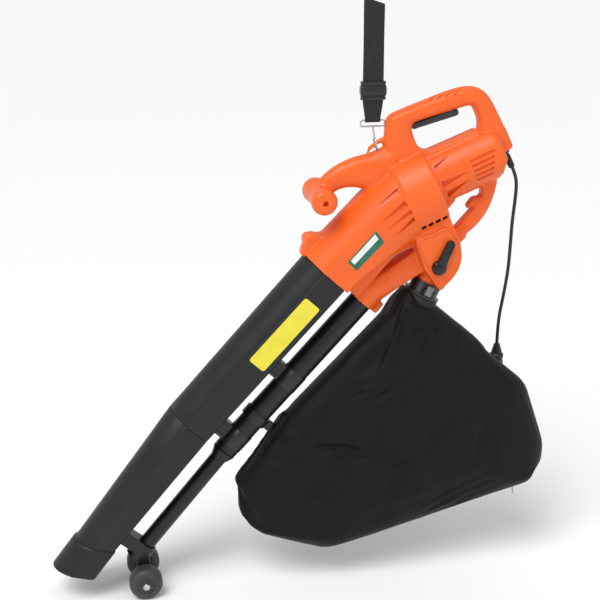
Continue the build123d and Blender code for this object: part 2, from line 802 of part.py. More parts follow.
def armature_windings():
    """Wound heads at both ends of the armature."""
    radius = ARMATURE_R * 0.85
    end = STATOR_START + STATOR_LEN
    heads = rod(radius, STATOR_START - WINDING_LEN, STATOR_START) + rod(radius, end, end + WINDING_LEN)
    rims = heads.edges().filter_by(GeomType.CIRCLE).sort_by(Axis.X)
    return on_shaft(fillet([rims[0], rims[-1]], radius / 4))


def commutator():
    """Commutator behind the armature."""
    start = STATOR_START + STATOR_LEN + WINDING_LEN + SLIP
    return on_shaft(rod(COMMUTATOR_R, start, start + COMMUTATOR_LEN))


def cooling_fan():
    """Small fan between the front bearing and the armature."""
    start = STATOR_START - WINDING_LEN - COOLING_LEN - WALL
    body = rod(COOLING_R, start, start + FAN_PLATE) + rod(FAN_HUB_R, start, start + COOLING_LEN)
    reach = (FAN_HUB_R - CUT_OVER, COOLING_R - EDGE_ROUND)
    blade = block((start, start + COOLING_LEN), reach, (-BLADE_T / 2, BLADE_T / 2))
    for step in range(FAN_BLADES):
        body += Rot(360 * step / FAN_BLADES, 0, 0) * blade
    return on_shaft(body)


# Fixed pieces of the motor

def stator_core():
    """Stator ring with flats at top and bottom."""
    radius = BARREL_R - WALL - SEAT
    ring = tube(radius, STATOR_BORE, STATOR_START, STATOR_START + STATOR_LEN)
    return ring - block(
        (STATOR_START - CUT_OVER, BARREL_END), (radius * 0.9, radius * 2), (-radius, radius)
    )


def field_windings():
    """Wound heads at both ends of the stator."""
    inner, outer = STATOR_BORE + WALL / 2, (BARREL_R - WALL) * 0.88
    end = STATOR_START + STATOR_LEN
    front = tube(outer, inner, STATOR_START - WINDING_LEN, STATOR_START)
    return front + tube(outer, inner, end, end + WINDING_LEN)


def bearing(start, radius):
    """Ball bearing drawn as one ring."""
    return tube(radius, SHAFT_R + RUN_FIT, start, start + BEARING_LEN)


def rear_bracket():
    """Spider that holds the rear bearing and the brush holders."""
    start = rear_bearing_start() - BRACKET_T
    radius = BARREL_R - WALL - SEAT
    body = rod(radius, start, start + BRACKET_T)
    body += rod(BEARING_R + WALL, start, start + BRACKET_T + BEARING_LEN)
    window = rod(radius * 0.22, start - CUT_OVER, start + BRACKET_T + CUT_OVER, rise=radius * 0.68)
    for step in range(BRACKET_WINDOWS):
        body -= Rot(360 * step / BRACKET_WINDOWS, 0, 0) * window
    body -= rod(BEARING_R + SEAT, start + BRACKET_T, BARREL_END)
    return body - rod(SHAFT_R * 1.5, 0, BARREL_END)


def brush_holders():
    """Two brush boxes beside the commutator."""
    end = rear_bearing_start() - BRACKET_T
    start = STATOR_START + STATOR_LEN + WINDING_LEN + WALL / 2
    near, far = COMMUTATOR_R + SLIP, COMMUTATOR_R + BRUSH_LEN
    left = block((start, end), (-BRUSH_W / 2, BRUSH_W / 2), (near, far))
    right = block((start, end), (-BRUSH_W / 2, BRUSH_W / 2), (-far, -near))
    return left + right


# Selector

def selector_plate():
    """Cover on the selector box's left side with a raised rim."""
    hole = pin(SPINDLE_R + RUN_FIT, SELECTOR_BACK, -SELECTOR_DROP, 0, BOX_HALF * 2)
    base = extrude(Pos(0, 0, BOX_HALF) * box_outline(PLATE_INSET), PLATE_T, dir=(0, 0, 1))
    ring = box_outline(PLATE_INSET) - box_outline(PLATE_INSET + RIM_W)
    return base + extrude(Pos(0, 0, BOX_HALF + PLATE_T) * ring, RIM_T, dir=(0, 0, 1)) - hole


def selector_lever():
    """Change-over lever with its spindle."""
    base = BOX_HALF + PLATE_T + SLIP
    floor = base + RIM_T + SLIP
    top = floor + LEVER_T
    wide, narrow = LEVER_HUB_R * 0.8, LEVER_TIP_R * 0.9
    blade = [(0, -wide), (LEVER_LEN, -narrow), (LEVER_LEN, narrow), (0, wide)]
    grip = extrude(Pos(0, 0, floor) * make_face(Polyline(*blade, close=True)), LEVER_T, dir=(0, 0, 1))
    body = grip + pin(LEVER_TIP_R, LEVER_LEN, 0, floor, top) + pin(LEVER_HUB_R, 0, 0, base, top + WALL / 2)
    body += pin(SPINDLE_R, 0, 0, -BOX_HALF + WALL / 2 + SLIP, top)
    return Pos(SELECTOR_BACK, -SELECTOR_DROP, 0) * Rot(0, 0, SELECTOR_ANGLE) * body


def diverter_flap():
    """Air flap on the lever's spindle."""
    half = BOX_HALF - WALL - SIDE_GAP
    sleeve = pin(SPINDLE_R + FLAP_T, 0, 0, -half, half)
    leaf = block((0, FLAP_LEN), (-FLAP_T / 2, FLAP_T / 2), (-half, half))
    body = sleeve + leaf - pin(SPINDLE_R + SEAT, 0, 0, -BOX_HALF, BOX_HALF)
    return Pos(SELECTOR_BACK, -SELECTOR_DROP, 0) * Rot(0, 0, FLAP_ANGLE) * body


# Suction tube

def vac_upper_solid(grow):
    """Upper suction tube as a solid, larger or smaller all round by grow."""
    first = arch(TUBE_HALF + grow, TUBE_DOME + grow, TUBE_DEEP + grow)
    last = arch(JOINT_HALF + grow, JOINT_DOME + grow, TUBE_DEEP + grow)
    straight = extrude(station(-SOCKET + SLIP) * first, SOCKET - SLIP, dir=(1, 0, 0))
    taper = loft([station(0) * first, station(UPPER_LEN - SOCKET) * last], ruled=True)
    return straight + taper + extrude(station(UPPER_LEN - SOCKET) * last, SOCKET, dir=(1, 0, 0))


def lower_section():
    """Section plane at the lower tube's end, in the upper tube's frame."""
    return Pos(UPPER_LEN, 0, 0) * Rot(0, 0, -LOWER_BEND) * station(LOWER_LEN)


def vac_lower_solid(grow):
    """Lower suction tube as a solid, larger or smaller all round by grow."""
    first = arch(JOINT_HALF + grow, JOINT_DOME + grow, TUBE_DEEP + grow)
    last = arch(LOWER_HALF + grow, LOWER_DOME + grow, LOWER_DEEP + grow)
    return loft([station(UPPER_LEN) * first, lower_section() * last], ruled=True)


def vac_tube_upper():
    """Upper suction tube."""
    return vac_upper_solid(0) - vac_upper_solid(-TUBE_WALL) - extrude(
        station(UPPER_LEN) * arch(JOINT_HALF - TUBE_WALL, JOINT_DOME - TUBE_WALL, TUBE_DEEP - TUBE_WALL),
        -SOCKET, dir=(1, 0, 0),
    ) - extrude(
        station(-SOCKET) * arch(TUBE_HALF - TUBE_WALL, TUBE_DOME - TUBE_WALL, TUBE_DEEP - TUBE_WALL),
        SOCKET, dir=(1, 0, 0),
    )


def vac_tube_lower():
    """Lower suction tube with the end that plugs into the upper one and the lip under the nozzle cap."""
    fit = TUBE_WALL + SLIP
    plug_face = arch(JOINT_HALF - fit, JOINT_DOME - fit, TUBE_DEEP - fit)
    thin = fit + TUBE_WALL
    bore_face = arch(JOINT_HALF - thin, JOINT_DOME - thin, TUBE_DEEP - thin)
    start = station(UPPER_LEN - SOCKET + SLIP)
    body = vac_lower_solid(0) + extrude(start * plug_face, SOCKET, dir=(1, 0, 0))
    lip = arch(LOWER_HALF - fit, LOWER_DOME - fit, LOWER_DEEP - fit)
    turned = Pos(UPPER_LEN, 0, 0) * Rot(0, 0, -LOWER_BEND)
    body += turned * extrude(station(LOWER_LEN - SLIP) * lip, LIP_LEN, dir=(1, 0, 0))
    inner = arch(LOWER_HALF - thin, LOWER_DOME - thin, LOWER_DEEP - thin)
    bore = extrude(station(UPPER_LEN - SOCKET) * bore_face, SOCKET, dir=(1, 0, 0))
    bore += loft([station(UPPER_LEN) * bore_face, lower_section() * inner], ruled=True)
    bore += turned * extrude(station(LOWER_LEN - SLIP) * inner, LIP_LEN * 2, dir=(1, 0, 0))
    return body - bore


def nozzle_cap():
    """Mouthpiece of the suction tube, cut level with the ground."""
    long = CAP_LEN + LOWER_DEEP
    outer = arch(LOWER_HALF + CAP_GROW, LOWER_DOME + CAP_GROW, LOWER_DEEP + CAP_GROW)
    inner = arch(LOWER_HALF - TUBE_WALL, LOWER_DOME - TUBE_WALL, LOWER_DEEP - TUBE_WALL)
    body = extrude(station(LOWER_LEN) * outer, long, dir=(1, 0, 0))
    body -= extrude(station(LOWER_LEN - CUT_OVER) * inner, long * 2, dir=(1, 0, 0))
    mouth = Pos(LOWER_LEN + CAP_LEN, LOWER_DOME, 0) * Rot(0, 0, CAP_SLANT - 90)
    return body - mouth * block((0, long * 3), (-long * 3, long * 3), (-long * 3, long * 3))


# Blower tube and the clips between the tubes

def blower_tube_upper():
    """Upper blower tube."""
    return tube(BLOWER_R, BLOWER_R - TUBE_WALL, -SOCKET + SLIP, BLOWER_LEN)


def blower_tube_lower():
    """Lower blower tube with its plug-in end and cone, in the upper tube's frame."""
    turned = Pos(BLOWER_LEN, 0, 0) * Rot(0, 0, -BLOWER_BEND)
    step = BLOWER_R * sin(radians(BLOWER_BEND)) + SLIP
    fit = BLOWER_R - TUBE_WALL - SLIP
    place = Pos(step, 0, 0) * Rot(0, 90, 0)
    cone = place * Cone(BLOWER_R, OUTLET_R, CONE_LEN, align=LOW)
    body = turned * (cone + rod(OUTLET_R, CONE_LEN, OUTLET_LEN))
    body += rod(fit, BLOWER_LEN - SOCKET, BLOWER_LEN + CONE_LEN / 3)
    bore = turned * rod(OUTLET_R - TUBE_WALL, -SOCKET, OUTLET_LEN + CUT_OVER)
    bore += rod(fit - TUBE_WALL, BLOWER_LEN - SOCKET, BLOWER_LEN)
    return body - bore


def tube_bracket(along):
    """Clip round the blower tube that stands on the suction tube's floor."""
    ring = tube(BLOWER_R + SLIP + CLIP_WALL, BLOWER_R + SLIP, along, along + CLIP_LEN, rise=-BLOWER_GAP)
    foot = -BLOWER_GAP + BLOWER_R + CLIP_WALL
    web = block((along, along + CLIP_LEN), (foot, -TUBE_DEEP / 2), (-CLIP_WEB, CLIP_WEB))
    return ring + web - vac_upper_solid(SEAT)


def wheel_bracket():
    """Axle carrier on the blower tube's end, braced to the suction tube, in the outlet's frame."""
    start = OUTLET_LEN - BRACKET_LEN - WALL
    radius = OUTLET_R + SLIP
    ring = rod(radius + BRACKET_WALL, start, start + BRACKET_LEN)
    eye_r = AXLE_R + BRACKET_WALL
    leg = plate(
        [
            (start, 0),
            (start + BRACKET_LEN, 0),
            (AXLE_ALONG + eye_r, -AXLE_DROP + eye_r),
            (AXLE_ALONG + eye_r, -AXLE_DROP - eye_r),
            (AXLE_ALONG - eye_r, -AXLE_DROP - eye_r),
        ],
        WALL,
        BRACKET_HALF,
    )
    post = block(
        (start, start + BRACKET_LEN * 0.7), (0, BLOWER_GAP), (-BRACKET_RISE, BRACKET_RISE)
    )
    body = ring + leg + post - rod(radius, 0, OUTLET_LEN * 2)
    body -= OUTLET.inverse() * TUBE * vac_lower_solid(SEAT)
    above = OUTLET.inverse() * LOWER * block(
        (0, LOWER_LEN * 2), (-LOWER_DEEP / 2, BLOWER_GAP), (-BLOWER_GAP, BLOWER_GAP)
    )
    return body - above - pin(AXLE_R + SEAT, AXLE_ALONG, -AXLE_DROP, -BRACKET_HALF * 2, BRACKET_HALF * 2)


def axle():
    """Steel axle through the bracket and both wheels."""
    reach = BRACKET_HALF + SIDE_GAP + WHEEL_W + SIDE_GAP + AXLE_CAP_LEN / 2
    return pin(AXLE_R, AXLE_ALONG, -AXLE_DROP, -reach, reach)


def axle_caps():
    """Push-on caps at both ends of the axle."""
    start = BRACKET_HALF + SIDE_GAP + WHEEL_W + SIDE_GAP / 2
    body = Part()
    for side in (-1, 1):
        ends = sorted((side * start, side * (start + AXLE_CAP_LEN)))
        cap = pin(AXLE_CAP_R, AXLE_ALONG, -AXLE_DROP, *ends)
        body += fillet(cap.edges().sort_by(Axis.Z)[-1 if side > 0 else 0], EDGE_ROUND)
    return body - pin(AXLE_R + SEAT, AXLE_ALONG, -AXLE_DROP, *(
        side * (start + AXLE_CAP_LEN / 2 + SIDE_GAP / 2) for side in (-1, 1)
    ))


def wheel(side):
    """Round-shouldered wheel on the axle: side -1 to the left, 1 to the right."""
    start = BRACKET_HALF + SIDE_GAP
    ends = sorted((side * start, side * (start + WHEEL_W)))
    body = pin(WHEEL_R, AXLE_ALONG, -AXLE_DROP, *ends)
    body = fillet(body.edges().filter_by(GeomType.CIRCLE), WHEEL_ROUND)
    return body - pin(AXLE_R + RUN_FIT, AXLE_ALONG, -AXLE_DROP, -WHEEL_W * 3, WHEEL_W * 3)


# Bag

def bag_adapter():
    """Ring that plugs onto the spigot, with the bag's flange and the latch lugs."""
    inner = SPIGOT_R + SLIP
    outer = inner + ADAPTER_WALL
    end = ADAPTER_START + ADAPTER_LEN
    body = rod(outer, ADAPTER_START, end) + rod(FLANGE_R, BAG_NECK_START - FLANGE_T, BAG_NECK_START)
    back, rise = latch_pivot()
    for side in (-1, 1):
        gap = LATCH_W / 2 + SLIP
        edges = sorted((side * gap, side * (gap + LATCH_T)))
        body += block((back - LATCH_T, back + LATCH_T), edges, (0, rise + LATCH_PIN_R * 2))
    body -= rod(inner, 0, end * 2)
    return body - Pos(back, 0, rise) * Rot(90, 0, 0) * Cylinder(LATCH_PIN_R + RUN_FIT, LATCH_W * 3)


def latch_pivot():
    """Latch pin: distance along the spigot, distance to the left of its axis."""
    outer = SPIGOT_R + SLIP + ADAPTER_WALL
    return ADAPTER_START + LATCH_LEN / 2 + WALL / 2, outer + LATCH_T / 2 + LATCH_PIN_R


def bag_latch():
    """Rocking latch on the adapter's left side."""
    back, rise = latch_pivot()
    body = block(
        (back - LATCH_LEN / 2, back + LATCH_LEN / 2 - WALL),
        (-LATCH_W / 2, LATCH_W / 2),
        (rise - LATCH_T / 2, rise + LATCH_T / 2),
    )
    body = fillet(body.edges().filter_by(Axis.Y), LATCH_ROUND)
    return body + Pos(back, 0, rise) * Rot(90, 0, 0) * Cylinder(LATCH_PIN_R, LATCH_W + LATCH_T)


def bag_neck():
    """Middle of the adapter's end in the tool's frame."""
    return (MOTOR * SPIGOT * Pos(BAG_NECK_START, 0, 0)).position


def bag_points(scale):
    """Corners of the bag seen from the left, scaled about its middle."""
    neck = bag_neck()
    points = []
    for across, up in BAG_SHAPE:
        across = BAG_CENTRE[0] + (across - BAG_CENTRE[0]) * scale
        up = BAG_CENTRE[1] + (up - BAG_CENTRE[1]) * scale
        points.append((neck.X + across * BAG_WIDE, neck.Z + up * BAG_TALL))
    return points


def bag_face(scale, left):
    """Bag outline at a distance to the left of the median plane."""
    rounded = FilletPolyline(*bag_points(scale), radius=[scale * r for r in BAG_CORNERS], close=True)
    return Plane.XZ.offset(left).location * make_face(rounded)


def bag_side(side):
    """One side of the bag, from its seam band out to a flat face."""
    sections = [bag_face(1, side * BAG_EDGE)]
    sections += [bag_face(scale, side * share * BAG_HALF) for share, scale in BAG_SWELL]
    return loft(sections)


def bag_fold(start, end, deep, side):
    """Trough of a fold between two points on the bag's side, deepest halfway."""
    neck = bag_neck()
    ends = [
        Vector(neck.X + across * BAG_WIDE, -side * out * BAG_HALF, neck.Z + up * BAG_TALL)
        for across, up, out in (start, end)
    ]
    long = (ends[1] - ends[0]).length
    lens = make_face(ThreePointArc((0, 0), (long / 2, deep), (long, 0)) + Line((long, 0), (0, 0)))
    return Plane(origin=ends[0], x_dir=ends[1] - ends[0], z_dir=(0, 1, 0)).location * revolve(lens, Axis.X)


def bag():
    """Filled bag: full outline at its seam, swollen and folded sides, round neck."""
    body = loft([bag_face(1, -BAG_EDGE), bag_face(1, BAG_EDGE)], ruled=True)
    for side in (-1, 1):
        body += bag_side(side)
        body -= [bag_fold(*fold, side) for fold in BAG_FOLDS]
    start = BAG_NECK_START + SEAT
    neck = Pos(start, 0, 0) * Rot(0, 90, 0) * Cone(BAG_NECK_R, BAG_THROAT_R, BAG_NECK_LEN, align=LOW)
    body += MOTOR * SPIGOT * neck
    clear = rod(FLANGE_R * 2, 0, start)
    clear += rod(SPIGOT_R + 2 * SLIP + ADAPTER_WALL, 0, ADAPTER_START + ADAPTER_LEN + SLIP)
    return body - MOTOR * SPIGOT * clear


def bag_hook(bag_solid):
    """Ring on the blower tube with a tab to the bag's front edge."""
    inner = BLOWER_R + SEAT
    start = UPPER_LEN - HOOK_BACK
    ring = rod(inner + HOOK_RING, start, start + HOOK_LEN)
    tab = block(
        (start, start + HOOK_LEN), (-BLOWER_R - HOOK_TAB, 0), (-HOOK_TAB_HALF, HOOK_TAB_HALF)
    )
    body = MOTOR * BLOWER * (ring + tab - rod(inner, 0, BLOWER_LEN))
    return body - bag_solid


def bag_zip_frame():
    """Frame on the bag's lower edge: x along it, y into the bag, z to the left, and its length."""
    points = bag_points(1)
    first, last = points[5], points[6]
    length = sqrt((last[0] - first[0]) ** 2 + (last[1] - first[1]) ** 2)
    slope = degrees(atan2(last[1] - first[1], last[0] - first[0]))
    return Plane.XZ.location * Pos(first[0], first[1], 0) * Rot(0, 0, slope), length


def bag_zip():
    """Zip along the bag's lower edge."""
    frame, length = bag_zip_frame()
    return frame * block((length * ZIP_SPAN[0], length * ZIP_SPAN[1]), (-ZIP_T, 0), (-ZIP_HALF, ZIP_HALF))


def zip_slider():
    """Runner of the zip with the eye for its pull."""
    frame, length = bag_zip_frame()
    end = length * ZIP_SPAN[1] - ZIP_SLIDER_LEN
    body = block(
        (end - ZIP_SLIDER_LEN, end), (-ZIP_T - ZIP_SLIDER_TALL, -ZIP_T - SLIP), (-ZIP_HALF, ZIP_HALF)
    )
    body = fillet(body.edges().filter_by(Axis.Z), EDGE_ROUND)
    back, drop = pull_pivot(length)
    gap = PULL_W / 2 + SLIP
    room = (drop - ZIP_SLIDER_TALL, drop + PULL_PIN_R * PULL_EYE + SLIP)
    body -= block((back - ZIP_SLIDER_LEN, back + ZIP_SLIDER_LEN), room, (-gap, gap))
    return frame * (body + pin(PULL_PIN_R, back, drop, -ZIP_HALF, ZIP_HALF))


def pull_pivot(length):
    """Pin of the zip pull in the zip's frame."""
    return length * ZIP_SPAN[1] - ZIP_SLIDER_LEN * 1.5, -ZIP_T - ZIP_SLIDER_TALL / 2


def zip_pull():
    """Pull tab that hangs from the runner."""
    frame, length = bag_zip_frame()
    back, drop = pull_pivot(length)
    pivot = frame * Pos(back, drop, 0)
    ring = pin(PULL_PIN_R * PULL_EYE, 0, 0, -PULL_W / 2, PULL_W / 2)
    tab = block((-PULL_T / 2, PULL_T / 2), (-PULL_LEN, -PULL_PIN_R), (-PULL_W / 2, PULL_W / 2))
    body = ring + tab - pin(PULL_PIN_R + RUN_FIT, 0, 0, -PULL_W, PULL_W)
    return Plane.XZ.location * Pos(pivot.position.X, pivot.position.Z, 0) * body


# Lead

def gland_hole():
    """Seat of the strain relief in the rear post's foot."""
    hole = rod(GLAND_R + SEAT, -GLAND_DEEP - GLAND_FOOT, GLAND_LEN)
    hole += rod(GLAND_FOOT_R + SEAT, -GLAND_DEEP - GLAND_FOOT, -GLAND_DEEP)
    hole += rod(CORD_R + SLIP, -CORD_INSIDE - SLIP, 0)
    return GLAND * hole


def strain_relief():
    """Flexible sleeve round the lead."""
    return rod(GLAND_R, -GLAND_DEEP, GLAND_LEN) + rod(GLAND_FOOT_R, -GLAND_DEEP - GLAND_FOOT, -GLAND_DEEP)


def lead_inner():
    """End of the lead inside the rear post."""
    return rod(CORD_R, -CORD_INSIDE, -GLAND_DEEP - GLAND_FOOT)


def cable_clamp():
    """Clamp on the lead inside the rear post."""
    start = -CORD_INSIDE + WALL
    body = block((start, start + CLAMP_LEN), (-CLAMP_TALL, CLAMP_TALL), (-GLAND_R + SEAT, GLAND_R - SEAT))
    return body - rod(CORD_R + SEAT, -CORD_INSIDE, 0)


def cord_route():
    """Points of the lead in the tool's frame, from the strain relief to the plug's tail."""
    start = (MOTOR * GLAND * Pos(GLAND_LEN, 0, 0)).position
    first = (MOTOR * GLAND * Pos(GLAND_LEN + CORD_LEAD, 0, 0)).position
    return [start, first] + [start + Vector(*fall) for fall in CORD_FALLS]


def cord_path(points):
    """Straight runs joined by tangent arcs, each arc using nine tenths of half the shorter run."""
    radii = []
    for before, here, after in zip(points, points[1:], points[2:]):
        run = min((here - before).length, (after - here).length)
        turn = radians((here - before).get_angle(after - here))
        radii.append(0.45 * run / tan(turn / 2))
    print("cord radii", [round(radius) for radius in radii])
    return FilletPolyline(*points, radius=radii)


def cord():
    """Rubber lead."""
    path = cord_path(cord_route())
    body = sweep(Plane(origin=path @ 0, z_dir=path % 0) * Circle(CORD_R), path=path)
    ratio = body.volume / (pi * CORD_R ** 2 * path.length)
    print("cord length", round(path.length), "volume ratio", round(ratio, 4))
    return body


def plug_frame():
    """Plug hangs on from the lead's last run."""
    return Plane(origin=cord_route()[-1], x_dir=(1, 0, 0), z_dir=(0, 0, -1)).location


def plug():
    """Two-pin plug body."""
    neck = Pos(0, 0, SEAT) * Cone(PLUG_NECK_R, PLUG_R * 0.8, PLUG_NECK, align=LOW)
    body = Pos(0, 0, PLUG_NECK) * Cylinder(PLUG_R, PLUG_LEN - PLUG_NECK, align=LOW)
    rims = body.edges().filter_by(GeomType.CIRCLE).sort_by(Axis.Z)
    body = neck + fillet(rims, PLUG_ROUND)
    return plug_frame() * (body - pins(SEAT))


def pins(grow):
    """Contact pins of the plug, or their seats with a gap round them."""
    body = Part()
    for side in (-1, 1):
        body += Pos(side * PIN_PITCH / 2, 0, PLUG_LEN - PIN_LEN / 2 - grow) * Cylinder(
            PIN_R + grow, PIN_LEN * 1.5, align=LOW
        )
    return body


# Strap

def strap_place():
    """Middle of the strap eye's slot in the tool's frame."""
    return Pos((MOTOR * Pos(-EYE_PLACE, EYE_RISE, 0)).position)


def strap_hook():
    """Wire link through the eye, shank and the loop for the webbing."""
    bends = [(-RING_R, 0), (RING_R, 0), (RING_R, 2 * RING_R), (-RING_R, 2 * RING_R)]
    line = Plane.YZ.location * FilletPolyline(*bends, radius=RING_CORNER, close=True)
    ring = sweep(Plane(origin=line @ 0, z_dir=line % 0) * Circle(WIRE_R), path=line)
    shank = Pos(0, 0, 2 * RING_R) * Cylinder(WIRE_R * 1.3, SHANK_LEN, align=LOW)
    lean = strap_place() * Rot(0, -HOOK_LEAN, 0) * (ring + shank)
    corners = [(-LOOP_HALF, -LOOP_TALL), (LOOP_HALF, -LOOP_TALL), (LOOP_HALF, 0), (-LOOP_HALF, 0)]
    path = Plane.XZ.location * FilletPolyline(*corners, radius=LOOP_CORNER, close=True)
    loop = sweep(Plane(origin=path @ 0, z_dir=path % 0) * Circle(WIRE_R), path=path)
    return lean + strap_bar() * loop


def strap_bar():
    """Middle of the hook's upper bar, above the leaning shank."""
    low = strap_place() * Rot(0, -HOOK_LEAN, 0) * Pos(0, 0, 2 * RING_R + SHANK_LEN)
    return Pos(low.position) * Pos(0, 0, LOOP_TALL)


def strap_webbing():
    """Folded strap: a flat loop round the hook's upper bar."""
    inner = SlotCenterToCenter(STRAP_LEN, 2 * STRAP_GAP)
    outer = SlotCenterToCenter(STRAP_LEN, 2 * (STRAP_GAP + STRAP_T))
    band = extrude(outer - inner, STRAP_HALF, both=True)
    return strap_bar() * Pos(0, 0, STRAP_LEN / 2) * Rot(0, 90, 0) * band


def strap_slider():
    """Plastic adjuster round both layers of the strap."""
    depth = STRAP_GAP + STRAP_T + SLIP
    half = STRAP_HALF + SLIP
    body = Box(2 * (half + SLIDER_BAR), 2 * (depth + SLIDER_T), SLIDER_TALL)
    body = fillet(body.edges().filter_by(Axis.Y), SLIDER_BAR / 2)
    body -= Box(2 * half, 2 * depth, SLIDER_TALL * 2)
    window = SLIDER_TALL / 2 - 1.5 * SLIDER_BAR
    for side in (-1, 1):
        middle = side * (window / 2 + SLIDER_BAR / 2)
        body -= Pos(0, 0, middle) * Box(2 * half - SLIDER_BAR, 4 * (depth + SLIDER_T), window)
    return strap_bar() * Pos(0, 0, SLIDER_RISE + SLIDER_TALL / 2) * body


def head_nodes():
    """Pieces drawn in the motor's frame."""
    body = housing()
    rear = rear_bearing_start()
    return {
        "housing_left": shell(body, Keep.TOP),
        "housing_right": shell(body, Keep.BOTTOM),
        "housing_screws": screws(0) - screw_drives(),
        "trigger": trigger(),
        "trigger_pin": trigger_pin(),
        "switch_block": switch_block(),
        "impeller": impeller(),
        "impeller_nut": impeller_nut(),
        "motor_shaft": motor_shaft(),
        "armature_core": armature_core(),
        "armature_windings": armature_windings(),
        "commutator": commutator(),
        "cooling_fan": cooling_fan(),
        "stator_core": stator_core(),
        "field_windings": field_windings(),
        "front_bearing": bearing(CASING_LEN, BEARING_R),
        "rear_bearing": bearing(rear, BEARING_R),
        "rear_bracket": rear_bracket(),
        "brush_holders": brush_holders(),
        "selector_plate": selector_plate(),
        "selector_lever": selector_lever(),
        "diverter_flap": diverter_flap(),
        "vac_tube_upper": TUBE * vac_tube_upper(),
        "vac_tube_lower": TUBE * vac_tube_lower(),
        "nozzle_cap": LOWER * nozzle_cap(),
        "blower_tube_upper": BLOWER * blower_tube_upper(),
        "blower_tube_lower": BLOWER * blower_tube_lower(),
        "tube_bracket_upper": TUBE * tube_bracket(UPPER_LEN - CLIP_BACK[0]),
        "tube_bracket_lower": TUBE * tube_bracket(UPPER_LEN - CLIP_BACK[1]),
        "wheel_bracket": OUTLET * wheel_bracket(),
        "axle": OUTLET * axle(),
        "axle_caps": OUTLET * axle_caps(),
        "wheel_left": OUTLET * wheel(-1),
        "wheel_right": OUTLET * wheel(1),
        "bag_adapter": SPIGOT * bag_adapter(),
        "bag_latch": SPIGOT * bag_latch(),
        "strain_relief": GLAND * strain_relief(),
        "lead_inner": GLAND * lead_inner(),
        "cable_clamp": GLAND * cable_clamp(),
    }


def free_nodes():
    """Pieces drawn in the tool's frame."""
    bag_solid = bag()
    return {
        "bag": bag_solid,
        "bag_hook": bag_hook(bag_solid),
        "bag_zip": bag_zip(),
        "zip_slider": zip_slider(),
        "zip_pull": zip_pull(),
        "cord": cord(),
        "plug": plug(),
        "plug_pins": plug_frame() * pins(0),
        "strap_hook": strap_hook(),
        "strap_webbing": strap_webbing(),
        "strap_slider": strap_slider(),
    }


os.makedirs("parts", exist_ok=True)
nodes = {name: MOTOR * shape for name, shape in head_nodes().items()}
nodes.update(free_nodes())
for name, shape in nodes.items():
    export_step(shape, f"parts/{name}.step")
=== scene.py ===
"""Corded leaf blower and vacuum with its collecting bag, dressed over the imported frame."""

import logging
import math
from dataclasses import dataclass
from enum import Enum
from typing import Sequence

import bmesh
import bpy
from mathutils import Matrix, Vector


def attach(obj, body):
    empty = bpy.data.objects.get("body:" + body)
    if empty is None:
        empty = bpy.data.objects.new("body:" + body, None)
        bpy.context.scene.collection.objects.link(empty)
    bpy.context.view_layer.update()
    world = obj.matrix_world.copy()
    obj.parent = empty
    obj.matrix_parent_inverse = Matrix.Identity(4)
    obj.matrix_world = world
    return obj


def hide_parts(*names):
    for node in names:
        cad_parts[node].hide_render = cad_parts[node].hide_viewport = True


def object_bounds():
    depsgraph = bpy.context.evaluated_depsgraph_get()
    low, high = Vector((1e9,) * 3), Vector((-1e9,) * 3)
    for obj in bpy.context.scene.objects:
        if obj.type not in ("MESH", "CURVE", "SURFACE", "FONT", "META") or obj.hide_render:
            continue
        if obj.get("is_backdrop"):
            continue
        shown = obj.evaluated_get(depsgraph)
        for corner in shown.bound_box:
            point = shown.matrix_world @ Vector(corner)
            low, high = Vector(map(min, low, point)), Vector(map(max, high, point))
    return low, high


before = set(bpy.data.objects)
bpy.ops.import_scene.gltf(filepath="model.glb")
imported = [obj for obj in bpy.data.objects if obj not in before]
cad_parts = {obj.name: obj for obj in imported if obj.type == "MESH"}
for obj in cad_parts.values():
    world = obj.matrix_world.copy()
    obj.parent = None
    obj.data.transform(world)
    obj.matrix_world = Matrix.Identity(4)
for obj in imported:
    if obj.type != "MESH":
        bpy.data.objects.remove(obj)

LOG = logging.getLogger("leaf_blower")
MM = 0.001
Loop = list[Vector]
Flat = tuple[float, float]
Station = tuple[float, float, float, float, float]
Obj = bpy.types.Object
Tree = bpy.types.NodeTree
Socket = bpy.types.NodeSocket


class Ends(Enum):
    """How a lofted skin is closed at its first and last loop."""

    CAP = "cap"
    RING = "ring"


class Body(Enum):
    """Bodies that pieces are mounted on."""

    TOOL = "tool"
    TRIGGER = "trigger"
    SELECTOR = "selector"
    WHEEL_LEFT = "wheel_left"
    WHEEL_RIGHT = "wheel_right"
    STRAP = "strap"
    STRAP_SLIDER = "strap_slider"
    ZIP_RUNNER = "zip_runner"
    ZIP_PULL = "zip_pull"
    BAG_LATCH = "bag_latch"


@dataclass(frozen=True)
class Axes:
    """Drawing plane in the tool's median plane, in millimetres.

    The length axis points `turn` degrees above +X, and up lies to the left of it where `side` is 1.
    """

    x: float
    z: float
    turn: float
    side: int = 1

    def at(self, along: float, up: float = 0.0, across: float = 0.0) -> Vector:
        """Point in metres at distances along, up and to the right of the tool.

        Args:
            along: Distance on the length axis in millimetres.
            up: Distance above the length axis in millimetres.
            across: Distance to the right of the median plane in millimetres.

        Returns:
            The point in the tool's frame.
        """
        c, s = math.cos(math.radians(self.turn)), math.sin(math.radians(self.turn))
        x = self.x + along * c - self.side * up * s
        z = self.z + along * s + self.side * up * c
        return Vector((x, across, z)) * MM

    def way(self, along: float, up: float = 0.0) -> Vector:
        """Direction along and up, in the tool's frame."""
        return (self.at(along, up) - self.at(0, 0)).normalized()

    def ring(self, outline: Sequence[Flat], across: float) -> Loop:
        """Points in metres of a side outline, at a distance to the right."""
        return [self.at(along, up, across) for along, up in outline]


